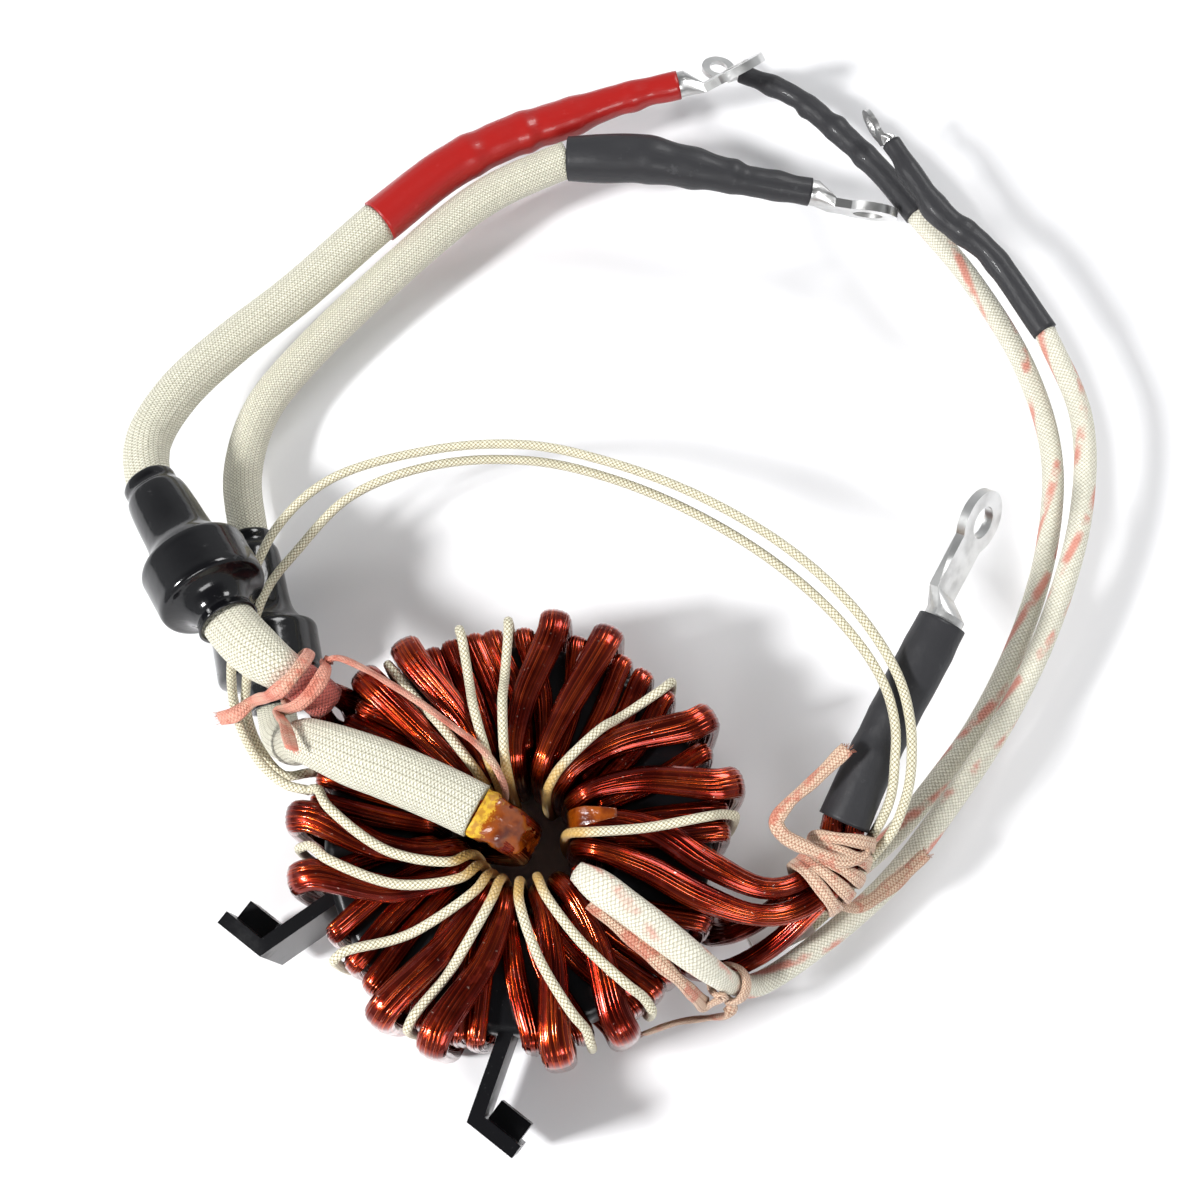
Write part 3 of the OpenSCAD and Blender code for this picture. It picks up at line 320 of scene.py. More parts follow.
def woven(name, yarn, gap, around, pitch, depth, columns=0, dye=None):
    """Woven sleeving. columns counts the wires that dent it, whose dents get painted shade, and dye lays a
    colour over its yarns.
    """
    material, tree, surface, place = new_material(name, Sheen_Weight=0.15, Sheen_Roughness=0.4)
    do = partial(calc, tree)
    run = run_of(tree)
    weave = add(tree, "ShaderNodeGroup", {"node_tree": TUBE_WEAVE}, Around=float(around), Pitch=pitch).outputs
    soil = patches(tree, place, 55.0, 0.45, 0.75, 4.0)
    light = mixed(tree, weave["Tone"], [c * 0.90 for c in yarn], [min(1, c * 1.06) for c in yarn])
    light = mixed(tree, do("MULTIPLY", soil, 0.22), light, [c * 0.78 for c in yarn])
    colour = mixed(tree, weave["Yarn"], gap, light)
    height = do("ADD", weave["Height"], do("MULTIPLY", noise(tree, place, 900.0), 0.2))
    if columns:
        column = do("PINGPONG", do("MULTIPLY", run[0], columns), 0.5)
        # Painted shade: the grooves over the wires are painted towards the gap colour, besides being dented.
        valley_dent_and_shade = do("MULTIPLY", ranged(tree, column, 0.13, 0.02), 0.6)
        colour = mixed(tree, valley_dent_and_shade, colour, gap)
        height = do("SUBTRACT", height, valley_dent_and_shade)
    if dye:
        colour = dye(tree, place, run, weave["Yarn"], colour)
    feed(
        tree, surface, Base_Color=colour, Normal=bumped(tree, height, depth),
        Roughness=ranged(tree, weave["Yarn"], 0.0, 1.0, 0.8, 0.5),
    )
    return material


def dyed_end(tree, place, run, yarns, colour):
    """Red dye from the tie, soaked into the first part of a sleeve up to a ragged edge."""
    ragged = calc(tree, "ADD", run[1], calc(tree, "MULTIPLY", noise(tree, place, 160.0, 3.0), 6 * MM))
    red = (0.62, 0.15, 0.12)
    return mixed(
        tree, ranged(tree, ragged, 19 * MM, 12 * MM), colour, mixed(tree, yarns, [c * 0.5 for c in red], red)
    )


# The columns give both sleeves painted shade in the grooves over their wires.
sleeve_a_cloth = woven(
    "sleeve cloth A", (0.82, 0.80, 0.67), (0.36, 0.33, 0.22), around=26, pitch=0.95 * MM, depth=0.18 * MM,
    columns=26, dye=dyed_end,
)
sleeve_b_cloth = woven(
    "sleeve cloth B", (0.81, 0.79, 0.66), (0.34, 0.31, 0.21), around=28, pitch=0.9 * MM, depth=0.18 * MM,
    columns=28,
)


def ribbed(count, depth, seed):
    """The ribs that the wires raise in a sleeve, fading in and out along it, and its slow lumps."""
    phases = np.random.RandomState(seed).uniform(0, 2 * np.pi, (4,))

    def relief(turn, run):
        drift = 0.35 * np.sin(run * 31 + phases[0]) + 0.2 * np.sin(run * 83 + phases[1])
        ribs = np.abs(np.sin(np.pi * (turn * count + drift)))
        fade = 0.6 + 0.4 * np.sin(run * 57 + phases[2])
        lumps = np.sin(run * 120 + 2 * np.pi * turn + phases[3]) * 0.35
        return depth * (ribs * fade + lumps - 0.6)

    return relief


def lead_sleeve(name, route, round_d, flats, cloth, sides, ribs, rib_depth, seed):
    """A sleeve along a lead's route, and the line that it follows."""
    rows = [
        [*np.multiply(p, MM), *np.multiply(flats.get(i, (round_d / MM, round_d / MM)), MM / 2)]
        for i, p in enumerate(route)
    ]
    rows = smooth(rows, 1.6 * MM)
    places = rows[:, :3]
    across, out = crossways(places, carried(places))
    piece = tube(
        name + "_cloth", places, across, out, rows[:, 3], rows[:, 4], sides, squareness=0.9,
        relief=ribbed(ribs, rib_depth, seed),
    )
    piece.data.materials.append(cloth)
    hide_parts(name)
    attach(piece, "root")
    return piece, places


lead_a, line_a = lead_sleeve(
    "lead_a_sleeve", ROUTE_A, SLEEVE_A_D, FLAT_A, sleeve_a_cloth, seed=3, **FAT_RIBS
)
lead_b, line_b = lead_sleeve(
    "lead_b_sleeve", ROUTE_B, SLEEVE_B_D, FLAT_B, sleeve_b_cloth, seed=8, **FAT_RIBS
)

# ------------------------------------------------------------------ thin leads: flecked sleeves
# The primary's two ends leave in thinner sleeves of the same weave, with red marker yarns in it.
# Lead C comes out of the core's hole and lies flat on the winding; lead D starts below the plug.
SLEEVE_C_D = 5.8 * MM
ROUTE_C = [
    (14.5, -10.5, 50.5), (19, -13.8, 53), (26, -18.8, 52.8), (34, -24.6, 50.5), (41, -29.7, 47.5),
    (46.5, -33, 41), (51.5, -34.8, 32), (58, -34.8, 24.5), (72, -26.4, 20.6), (92, -10, 18),
    (107, 8, 19), (122, 29, 21), (137, 57, 23), (147, 88, 25), (148.5, 113.4, 26.5), (140.3, 137.8, 27.5),
]
ROUTE_D = [
    (59.2, -17, 6.5), (66, -16.6, 4), (74, -13.5, 4), (83, -7, 5.5), (95, 3, 9.5), (107, 17, 13),
    (119, 33, 14.5), (131, 56, 16), (139.4, 80.5, 17), (142.1, 105.5, 18), (136.4, 131.2, 19),
    (123.2, 156.5, 20), (108.8, 177.3, 20),
]
FLAT_C = {0: (5.2, 3.4), 1: (7.8, 4.0), 2: (7.8, 4.0), 3: (7.8, 4.0), 4: (7.2, 4.4), 5: (6.4, 5.2)}
THIN_RIBS = {"sides": 24, "ribs": 6, "rib_depth": 0.12 * MM}


def marker_yarns(tree, place, run, yarns, colour):
    """Two red marker yarns that wind slowly round a sleeve, their dye bled, and broken in places."""
    spiral = calc(tree, "MULTIPLY_ADD", run[0], 2.0, calc(tree, "DIVIDE", run[1], 34 * MM))
    stripe = ranged(tree, calc(tree, "PINGPONG", spiral, 0.5), 0.20, 0.05)
    broken = patches(tree, place, 120.0, 0.42, 0.58, 4.0)
    marked = calc(tree, "MULTIPLY", calc(tree, "MULTIPLY", stripe, broken), 0.85)
    return mixed(tree, marked, colour, (0.66, 0.21, 0.15))


flecked_cloth = woven(
    "flecked cloth", (0.83, 0.81, 0.69), (0.50, 0.46, 0.34), around=15, pitch=1.1 * MM, depth=0.16 * MM,
    dye=marker_yarns,
)
lead_c, line_c = lead_sleeve(
    "lead_c_sleeve", ROUTE_C, SLEEVE_C_D, FLAT_C, flecked_cloth, seed=5, **THIN_RIBS
)
lead_d, line_d = lead_sleeve("lead_d_sleeve", ROUTE_D, SLEEVE_C_D, {}, flecked_cloth, seed=6, **THIN_RIBS)

# ------------------------------------------------------------------ pair of wires to the plug
# The auxiliary winding's two ends, each a stranded wire in a thin glass fibre braid, run loosely
# over the second bead and across to the plug, crossing once on the way.
PAIR_D = 2.4 * MM
ROUTE_P1 = [
    (-50, 9.4, 46), (-56.2, 11.3, 44), (-63.9, 18.2, 40), (-70.6, 30, 35.5), (-73.8, 42.9, 30.6),
    (-73.6, 51, 29.2), (-73, 58, 29), (-71.6, 66.5, 26.6), (-64.5, 82, 28.4), (-51, 94, 31),
    (-24, 101, 34.5), (1, 101, 38), (22, 95, 41.5), (45, 84, 46), (66, 69, 50.5), (82, 52, 53),
    (91, 36, 54), (93.4, 25, 54), (93.6, 16, 52.6), (93.2, 8.8, 47), (90.4, 0.6, 41),
    (86.6, -4.4, 33.5), (83.2, -9.4, 26), (80.2, -13.6, 19), (73.2, -20.2, 13.8),
]
ROUTE_P2 = [
    (-52, 15.5, 36), (-58.2, 15, 35.4), (-65, 22.5, 35), (-69.2, 33, 32.4), (-69.9, 41.5, 30),
    (-69.8, 50, 29.6), (-68.2, 58.6, 29.6), (-65.8, 67, 26.8), (-60.3, 74.6, 27), (-46, 90, 28.6),
    (-24, 98, 31), (1, 98, 34.4), (22, 92, 37.8), (43, 81, 42.8), (63.5, 66, 47), (79, 49, 51.5),
    (87.4, 34.5, 53.6), (89.9, 24, 53.4), (89.8, 15.5, 51.4), (89.4, 7.8, 45.6), (86.8, 1.2, 38),
    (83, -3.9, 31), (79.4, -7.9, 24), (76.4, -11.5, 18), (71.5, -16.6, 13.8),
]
BRAID = {
    "yarn": (0.84, 0.80, 0.62), "gap": (0.32, 0.26, 0.13), "around": 7, "pitch": 1.2 * MM, "depth": 0.2 * MM,
}
PAIR_RIBS = {"sides": 14, "ribs": 3, "rib_depth": 0.05 * MM}
wire_braid = woven("wire braid", **BRAID)
for number, route in ((1, ROUTE_P1), (2, ROUTE_P2)):
    wire, line = lead_sleeve(
        f"aux_lead_{number}", route, PAIR_D, {}, wire_braid, seed=20 + number, **PAIR_RIBS
    )

# ------------------------------------------------------------------ bead chokes
# A ferrite bead is threaded on each fat lead under a glossy black sleeve shrunk over bead and lead
# together: a drum over the bead, a long tapering neck above it and a short one below.
BEAD_OD, BEAD_H = 25.4, 12.7
JACKET_WALL, JACKET_GAP, JACKET_LONG, JACKET_SHORT = 1.0, 0.4, 34.0, 15.0
BEADS = {
    "a": (SLEEVE_A_D / MM, (-79.4, 63.4, 42.9), (-25, 40, -11.1)),
    "b": (SLEEVE_B_D / MM, (-68, 51, 14.1), (-3.4, 16, 0)),
}
JACKET_SEGMENTS = 72


def jacket_profile(lead_d):
    """(distance along the lead, radius) down the outside and back up the inside, in mm."""
    inside, drum, h = lead_d / 2 + JACKET_GAP, BEAD_OD / 2 + 0.15, BEAD_H / 2
    neck, barrel, low, high = inside + JACKET_WALL, drum + JACKET_WALL, -JACKET_SHORT, JACKET_LONG
    outer = [
        (low, neck + 0.6), (low + 1.2, neck + 0.25), (low + 2.5, neck), (-h - 4.4, neck + 0.5),
        (-h - 2.4, neck + 1.9), (-h - 1.0, drum - 1.4), (-h - 0.55, barrel - 1.1), (-h - 0.2, barrel - 0.4),
        (-h + 0.7, barrel - 0.03), (-h / 2, barrel), (h / 2, barrel), (h - 0.7, barrel - 0.03),
        (h + 0.2, barrel - 0.4), (h + 0.6, barrel - 1.1), (h + 1.4, drum - 1.6), (h + 3.2, neck + 3.2),
        (h + 5.4, neck + 2.1), (h + 8.5, neck + 1.6), (high - 12, neck + 1.3), (high - 7.0, neck + 0.95),
        (high - 5.0, neck + 0.6), (high - 3.8, neck - 0.1), (high - 2.8, neck - 0.3),
        (high - 1.6, neck - 0.15), (high - 0.4, neck - 0.2), (high, neck - 0.5),
    ]
    inner = [
        (high - 0.1, inside - 0.1), (high - 4.5, inside), (high - 9, inside + 0.2),
        (0, inside + 0.3), (low + 3, inside + 0.1), (low + 0.1, inside + 0.35),
    ]
    return outer, inner


def shrunk_film(name, colour, roughness, coat, ridge, scratch):
    """Shrunk plastic film: long shallow ridges, a fine grain and small pale rub marks."""
    material, tree, surface, place = new_material(
        name, Coat_Roughness=0.05, IOR=1.45, Specular_IOR_Level=0.35
    )
    run = add(tree, "ShaderNodeUVMap", {"uv_map": "run"}).outputs[0]
    stretched = add(tree, "ShaderNodeMapping", None, run, Scale=(9.0, 90.0, 1.0)).outputs[0]
    grain = calc(tree, "MULTIPLY", noise(tree, place, 600.0, 3.0), 0.35)
    worn = patches(tree, place, 240.0, 0.60, 0.70, 6.0, 0.7)
    rubbed = calc(tree, "MULTIPLY", worn, scratch)
    feed(
        tree, surface,
        Base_Color=mixed(tree, rubbed, colour, [min(1.0, c * 2.0 + 0.10) for c in colour]),
        Roughness=ranged(tree, worn, 0.0, 1.0, roughness, min(1.0, roughness + 0.25)),
        Coat_Weight=ranged(tree, worn, 0.0, 1.0, coat, coat * 0.5),
        Normal=bumped(tree, calc(tree, "ADD", noise(tree, stretched, 3.0, 3.0), grain), ridge),
    )
    return material


jacket_film = shrunk_film(
    "jacket film", (0.004, 0.004, 0.005), roughness=0.16, coat=0.35, ridge=0.10 * MM, scratch=0.2
)
for letter, (sleeve_d, place, way) in BEADS.items():
    outer, inner = jacket_profile(sleeve_d)
    chance = np.random.RandomState(ord(letter))
    fine = smooth([(x, r, 0) for x, r in outer], 0.6)[:, :2]
    profile = np.vstack([fine, inner])
    axis = unit(way)
    side = unit(np.cross(axis, (0, 0, 1)))
    top = np.cross(side, axis)
    turn = np.arange(JACKET_SEGMENTS) * 2 * np.pi / JACKET_SEGMENTS
    wobble = 0.07 * np.sin(3 * turn + chance.uniform(0, 6)) + 0.05 * np.sin(7 * turn + chance.uniform(0, 6))
    radius = profile[:, 1][:, None] + wobble[None, :] * np.linspace(0.6, 1, len(profile))[:, None]
    spun = (
        np.array(place)[None, None, :]
        + axis * profile[:, 0][:, None, None]
        + side * (radius * np.cos(turn))[:, :, None]
        + top * (radius * np.sin(turn))[:, :, None]
    ) * MM
    jacket = skin(f"bead_{letter}_film", spun, profile[:, 0] * MM, closed=True)
    shape = bmesh.new()
    shape.from_mesh(jacket.data)
    bmesh.ops.recalc_face_normals(shape, faces=shape.faces)
    shape.to_mesh(jacket.data)
    shape.free()
    jacket.data.materials.append(jacket_film)
    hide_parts(f"bead_{letter}_jacket")
    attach(jacket, "root")


def moulded(name, colour, roughness, grain, scuff, **shader):
    """Moulded plastic or pressed ferrite: a fine grain, a few dull scuffs and dust."""
    material, tree, surface, place = new_material(name, **shader)
    dull = patches(tree, place, 70.0, 0.5, 0.75, 5.0, 0.65)
    dust = patches(tree, place, 1500.0, 0.68, 0.76, 2.0)
    base = mixed(tree, dull, colour, [c * 1.2 + 0.004 for c in colour])
    feed(
        tree, surface,
        Base_Color=mixed(tree, calc(tree, "MULTIPLY", dust, scuff), base, (0.5, 0.5, 0.5)),
        Roughness=ranged(tree, dull, 0.0, 1.0, roughness, roughness + 0.15),
        Normal=bumped(tree, noise(tree, place, 2400.0, 3.0), grain),
    )
    return material


def recoated(piece, material):
    """A piece of the CAD with this material in place of its own."""
    piece.data.materials.clear()
    piece.data.materials.append(material)


ferrite = moulded("bead ferrite", (0.08, 0.08, 0.085), roughness=0.6, grain=0.04 * MM, scuff=0.1)
for letter in BEADS:
    recoated(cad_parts[f"bead_{letter}_core"], ferrite)

# ------------------------------------------------------------------ heat-shrink sleeves and lugs
# A shrunk sleeve covers the end of each lead and the barrel of its lug: glossy red on lead A, satin
# black on the others. The lugs are tinned copper tube, flattened and punched.
SHRINK_TAP = [(79, 3, 38), (84.5, 15, 41), (91.5, 28.5, 44), (98, 40.5, 46.5), (103.5, 50.5, 48.5)]
SHRINKS = {
    "lead_a_shrink": (
        [(-42, 174, 22), (-24, 190, 22), (-6, 200.5, 22), (9, 206.2, 22), (25.6, 211.6, 24), (42.1, 215, 26)],
        [12.6, 12.2, 11.6, 11.2, 8.5, 8.0],
    ),
    "lead_b_shrink": (
        [
            (10.9, 192.6, 24), (20.8, 192, 25), (31, 192, 25), (46.6, 188.9, 25), (62.9, 185.3, 24),
            (78.8, 183.2, 22),
        ],
        [12.2, 13.4, 13.2, 11.2, 8.5, 8.0],
    ),
    "lead_c_shrink": (
        [(140.3, 137.8, 27.5), (126.1, 161.2, 28.5), (113.5, 172.7, 29), (106, 184.5, 30), (101, 194, 30)],
        [6.9, 6.8, 7.3, 6.0, 5.4],
    ),
    "lead_d_shrink": (
        [(108.8, 177.3, 20), (100, 190.9, 19), (87.8, 206.1, 17), (75.1, 218.6, 15.5), (61.2, 226.2, 14.5)],
        [6.9, 6.8, 6.9, 6.0, 5.4],
    ),
    "tap_shrink": (SHRINK_TAP, [12.8, 12.3, 12.3, 12.8, 12.3]),
}
red_film = shrunk_film(
    "red film", (0.36, 0.012, 0.010), roughness=0.34, coat=0.25, ridge=0.12 * MM, scratch=0.10
)
black_film = shrunk_film(
    "black film", (0.028, 0.028, 0.031), roughness=0.50, coat=0.05, ridge=0.14 * MM, scratch=0.2
)


def lumpy(seed, length, size):
    """Ridges, and the lumps where the film has shrunk over crimps and the ends of wires."""
    chance = np.random.RandomState(seed)
    ridges = ribbed(5, 0.14 * MM, seed)
    lumps = [
        (
            place * length, chance.uniform(1.6, 3.2) * MM, chance.uniform(0.35, 0.6) * MM,
            chance.uniform(0, 1),
        )
        for place in (0.34, 0.52, 0.68, 0.86)
    ]

    def relief(turn, run):
        total = ridges(turn, run)
        for place, reach, height, side in lumps:
            rise = np.exp(-(((run - place) / reach) ** 2))
            dip = np.exp(-(((run - place - 2 * reach) / reach) ** 2))
            bell = rise - 0.6 * dip
            total = total + size * height * bell * (0.6 + 0.4 * np.cos(2 * np.pi * (turn - side)))
        return total

    return relief


for name, (route, widths) in SHRINKS.items():
    rows = smooth([[*np.multiply(p, MM), w * MM / 2] for p, w in zip(route, widths)], 1.0 * MM)
    line = rows[:, :3]
    across, out = crossways(line, carried(line))
    film = tube(
        name + "_film", line, across, out, rows[:, 3], rows[:, 3] * 0.97, sides=40, squareness=0.95,
        relief=lumpy(len(name) + int(route[0][2]), along(line)[-1], 0.3 if name == "tap_shrink" else 1.0),
    )
    film.data.materials.append(red_film if name == "lead_a_shrink" else black_film)
    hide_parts(name)
    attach(film, "root")


def tinned(name, colour, roughness):
    """Tinned metal: cloudy dull patches and a fine grain."""
    material, tree, surface, place = new_material(name, Metallic=1.0)
    cloud = patches(tree, place, 130.0, 0.35, 0.7, 4.0)
    feed(
        tree, surface,
        Base_Color=mixed(tree, cloud, colour, [c * 0.78 for c in colour]),
        Roughness=ranged(tree, cloud, 0.0, 1.0, roughness, roughness + 0.18),
        Normal=bumped(tree, noise(tree, place, 1100.0, 4.0), 0.04 * MM),
    )
    return material


def rounded(node, name, width, material, segments=2, angle=35):
    """A copy of a CAD piece with its sharp edges rounded, in the CAD piece's place."""
    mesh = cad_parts[node].data.copy()
    mesh.name = name
    piece = linked(name, mesh)
    recoated(piece, material)
    shape = bmesh.new()
    shape.from_mesh(mesh)
    bmesh.ops.remove_doubles(shape, verts=shape.verts, dist=2e-6)
    bmesh.ops.dissolve_limit(shape, angle_limit=math.radians(2), verts=shape.verts, edges=shape.edges)
    for face in shape.faces:
        face.smooth = True
    shape.to_mesh(mesh)
    shape.free()
    bevel = piece.modifiers.new("edge", "BEVEL")
    bevel.width = width
    bevel.segments = segments
    bevel.limit_method = "ANGLE"
    bevel.angle_limit = math.radians(angle)
    corners = piece.modifiers.new("corners", "WEIGHTED_NORMAL")
    corners.keep_sharp = True
    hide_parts(node)
    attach(piece, "root")
    return piece


tin = tinned("lug tin", (0.74, 0.74, 0.73), roughness=0.28)
for letter in ("a", "b", "c", "d", "tap"):
    rounded(f"lug_{letter}", f"lug_{letter}_tinned", 0.25 * MM, tin, angle=40)

# ------------------------------------------------------------------ plug
# A small two-way crimp housing in white nylon with a latch lever, and its two tinned contacts.
nylon = moulded(
    "white nylon", (0.90, 0.90, 0.88), roughness=0.45, grain=0.02 * MM, scuff=0.1, Subsurface_Weight=0.05
)
plug = rounded("plug_housing", "plug", 0.25 * MM, nylon)
contact_tin = tinned("contact tin", (0.72, 0.66, 0.50), roughness=0.3)
contacts = rounded("plug_contacts", "contacts", 0.08 * MM, contact_tin, segments=1)

# ------------------------------------------------------------------ core, case and cover
# The core is a closed ring of wound tape in a moulded case with a cover pressed in from below. The
# case's two legs end in feet with nut bosses. Its black plastic is satin with a faint grain.
case_plastic = moulded(
    "case plastic", (0.004, 0.004, 0.005), roughness=0.30, grain=0.03 * MM, scuff=0.06,
    Specular_IOR_Level=0.25,
)
rounded("case_body", "case", 0.35 * MM, case_plastic)
rounded("case_cover", "cover", 0.15 * MM, case_plastic, segments=1)
core_tape, core_tree, core_surface, core_place = new_material("core tape", Metallic=0.8, Roughness=0.45)
core_turns = add(
    core_tree, "ShaderNodeTexWave", {"wave_type": "RINGS", "rings_direction": "Z"},
    Vector=core_place, Scale=900.0,
).outputs[0]
feed(
    core_tree, core_surface,
    Base_Color=mixed(core_tree, core_turns, (0.2, 0.2, 0.22), (0.32, 0.32, 0.34)),
)
recoated(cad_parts["core_ring"], core_tape)

# ------------------------------------------------------------------ enamelled copper windings
# The primary is one flat bundle of parallel enamelled wires, thirty turns round the core. Each half of
# the secondary is four turns of two thicker bundles side by side, laid over it. The wires are drawn
# copper in red enamel, brushed with clear varnish that shines and pools between them.
LAYER_GAP = 0.3
CASE_RI, CASE_RO = 23.4, 47.1
CASE_BOTTOM, CASE_TOP = 9.0, 40.2
THIN_T, THIN_W, THIN_W_IN = 3.7, 5.2, 3.8
THICK_T, THICK_W, THICK_T_IN, THICK_W_IN, THICK_T_LOW = 4.7, 7.8, 6.0, 5.1, 3.2
AUX_D, AUX_T_LOW = 2.4, 1.2
THIN_RI = CASE_RI - LAYER_GAP - THIN_T / 2
THIN_RO = CASE_RO + LAYER_GAP + THIN_T / 2
THIN_ZT = CASE_TOP + LAYER_GAP + THIN_T / 2
THIN_ZB = CASE_BOTTOM - LAYER_GAP - THIN_T / 2
THICK_RI = THIN_RI - THIN_T / 2 - LAYER_GAP - THICK_T_IN / 2
THICK_RO = THIN_RO + THIN_T / 2 + LAYER_GAP + THICK_T / 2
THICK_ZT = THIN_ZT + THIN_T / 2 + LAYER_GAP + THICK_T / 2
THICK_ZB = THIN_ZB - THIN_T / 2 - LAYER_GAP - THICK_T / 2
THICK_ZB_LOW = THIN_ZB - THIN_T / 2 - LAYER_GAP - THICK_T_LOW / 2
THICK_W_MID, THICK_W_LOW = 0.84 * THICK_W, 0.72 * THICK_W
THIN_OUT = [
    0.2, 6.1, 23.5, 43.1, 51.7, 59, 73.2, 88.9, 98, 103.6, 110.5, 116.5, 141, 147, 156, 164,
    171.6, 193, 209, 219, 226.5, 242.6, 253, 259, 274.7, 288.6, 304.5, 311.2, 317.6, 334.3,
]
THIN_FIRST, THIN_PITCH, THIN_LEAN = -5, 11.3, 8
THICK_A_OUT = [135.3, 122, 80.6, 65.8, 31, 12.5, -10, -20]
THICK_A_IN = [135, 115, 92, 70, 48, 28, 7, -14]
THICK_B_OUT = [-61.6, -79, -110.9, -126, -167.5, -183.5]
THICK_B_IN = [-50, -71, -98, -118, -145, -165, -185, -205]
RISER_A = [150.5, 142]
RISER_B = [-22.5, -33]
TAP_A = [
    [(58, -13.4, 43.5), (66, -12.4, 41), (73.2, -7, 40.5)],
    [(55, -19.6, 44), (63, -19.4, 41.6), (70.6, -16.2, 40.6), (78, -9.8, 40.5)],
]
TAP_B = [
    [(73.2, -7, 35.5), (67.5, -12.6, 34.3), (60.5, -18.3, 28.6), (54, -21.6, 21.5)],
    [(78, -9.8, 35.5), (71.5, -17, 34.3), (61.5, -26, 28), (50.8, -31.2, 20.5)],
]
RISE_B = [
    [
        (-11.8, -0.6, 11), (-7, -2.6, 22), (-1.5, -4.6, 33), (1.2, -5.4, 42), (-1, -4.4, 50.5),
        (-4.6, -2.6, 54.3),
    ],
    [(-10.4, 5.4, 11), (-5.4, 2.6, 22), (0.6, 0.6, 33), (3.4, -0.4, 42), (1.2, 0.8, 50.5), (-2.3, 2.6, 54.3)],
]
END_W, END_T = 5.2, 4.6
WIRE_D = 0.95
BUNDLE_SQUARENESS = 0.88


def polar(r, a, z):
    """A place at radius r and angle a, in degrees, round the core's axis."""
    a = math.radians(a)
    return [r * math.cos(a), r * math.sin(a), z]


def station(r, a, z, nr, nz, w, t):
    """A place on a bundle's middle line at radius r and angle a, its normal, width and thickness."""
    return [*polar(r, a, z), *polar(nr, a, nz), w, t]


def loose(points, w, t, normal=(0, 0, 1)):
    return [[*p, *normal, w, t] for p in points]


def framed(rows, unit_size=1.0):
    """The line that stations follow, in units of the given size, with its directions across and out."""
    line = rows[:, :3] * unit_size
    return (line, *crossways(line, unit(rows[:, 3:6])))


def thin_face(fi, fo, z, up):
    """A turn's stations from the hole outwards, over the core's top (up is 1) or under it (-1)."""
    return [
        station(THIN_RI, fi, z - up * 0.6, -1, up * 0.25, THIN_W_IN, THIN_T),
        station(THIN_RI + 0.7, fi, z, -0.25, up, THIN_W_IN, THIN_T),
        station(THIN_RI + 13, fi + 0.45 * (fo - fi), z, 0, up, THIN_W, THIN_T),
        station(THIN_RO - 0.7, fo, z, 0.25, up, THIN_W, THIN_T),
        station(THIN_RO, fo, z - up * 0.6, 1, up * 0.25, THIN_W, THIN_T),
    ]


def primary_rows():
    ins = [THIN_FIRST + THIN_PITCH * k for k in range(len(THIN_OUT) + 1)]
    start = ROUTE_D[0]
    aim = math.degrees(math.atan2(start[1], start[0]))
    rows = loose([start], 3.6, THIN_T, (0, 0, -1)) + [station(THIN_RO + 1, aim, THIN_ZB, 0, -1, 3.6, THIN_T)]
    rows += thin_face(ins[0] - THIN_LEAN, aim, THIN_ZB, -1)[2::-1]
    for k, out in enumerate(THIN_OUT):
        rows += thin_face(ins[k], out, THIN_ZT, 1)
        rows += thin_face(ins[k + 1] - THIN_LEAN, out, THIN_ZB, -1)[::-1]
    end = ins[-1]
    return rows + [
        station(THIN_RI, end - 3, THIN_ZT - 1, -1, 0, THIN_W_IN, THIN_T),
        station(THIN_RI - 2.6, end - 6, THIN_ZT + 3.4, -1, 0.6, THIN_W_IN - 0.4, THIN_T - 0.6),
        *loose([ROUTE_C[0]], THIN_W_IN - 0.4, THIN_T - 0.6, polar(-1, end - 8, 0.8)),
    ]


def thick_top(fi, fo, whole=True):
    """A turn's stations out of the hole and over the top, and down the outside if it's whole."""
    rows = [
        (THICK_RI, fi, THICK_ZT - 4, -1, 0, THICK_W_IN, THICK_T_IN),
        (THICK_RI + 1.2, fi, THICK_ZT - 1.2, -1, 1, THICK_W_IN, THICK_T),
        (THICK_RI + 4, fi, THICK_ZT, 0, 1, THICK_W_IN, THICK_T),
        (THICK_RI + 16, fi + 0.4 * (fo - fi), THICK_ZT, 0, 1, THICK_W_MID, THICK_T),
        (THICK_RO - 4.4, fo, THICK_ZT, 0, 1, THICK_W, THICK_T),
        (THICK_RO - 1, fo, THICK_ZT - 1.2, 1, 1, THICK_W, THICK_T),
        (THICK_RO, fo, THICK_ZT - 4.6, 1, 0, THICK_W, THICK_T),
    ]
    return [station(*row) for row in (rows if whole else rows[:4])]


def thick_low(fo, fi):
    """A turn's stations from the outside, under the core and up into the hole."""
    run = fo - fi
    return [station(*row) for row in (
        (THICK_RO, fo, THICK_ZB + 4.6, 1, 0, THICK_W, THICK_T),
        (THICK_RO - 1, fo, THICK_ZB + 1.2, 1, -1, THICK_W, THICK_T),
        (THICK_RO - 4.4, fo, THICK_ZB, 0, -1, THICK_W, THICK_T),
        (THICK_RI + 19, fi + 0.7 * run, THICK_ZB, 0, -1, THICK_W_LOW, THICK_T),
        (THICK_RI + 12.5, fi + 0.42 * run, THICK_ZB_LOW, 0, -1, THICK_W_IN + 0.7, THICK_T_LOW),
        (THICK_RI + 4.4, fi + 0.04 * run, THICK_ZB_LOW, 0, -1, THICK_W_IN, THICK_T_LOW),
        (THICK_RI + 1.4, fi, THICK_ZB_LOW + 0.7, -1, -1, THICK_W_IN, THICK_T_LOW + 1),
        (THICK_RI, fi, THICK_ZB_LOW + 3.6, -1, 0, THICK_W_IN, THICK_T_IN),
    )]


def mouth(route, hand, up=0):
    """Where one of two bundles side by side meets the mouth of a sleeve."""
    first, second = np.array(route[0], float), np.array(route[1], float)
    way = unit(second - first)
    side = unit(np.cross(way, (0, 0, 1)))
    return first + side * (hand - 0.5) * (END_W + 0.2) + np.cross(side, way) * up * (END_T + 0.2) / 2


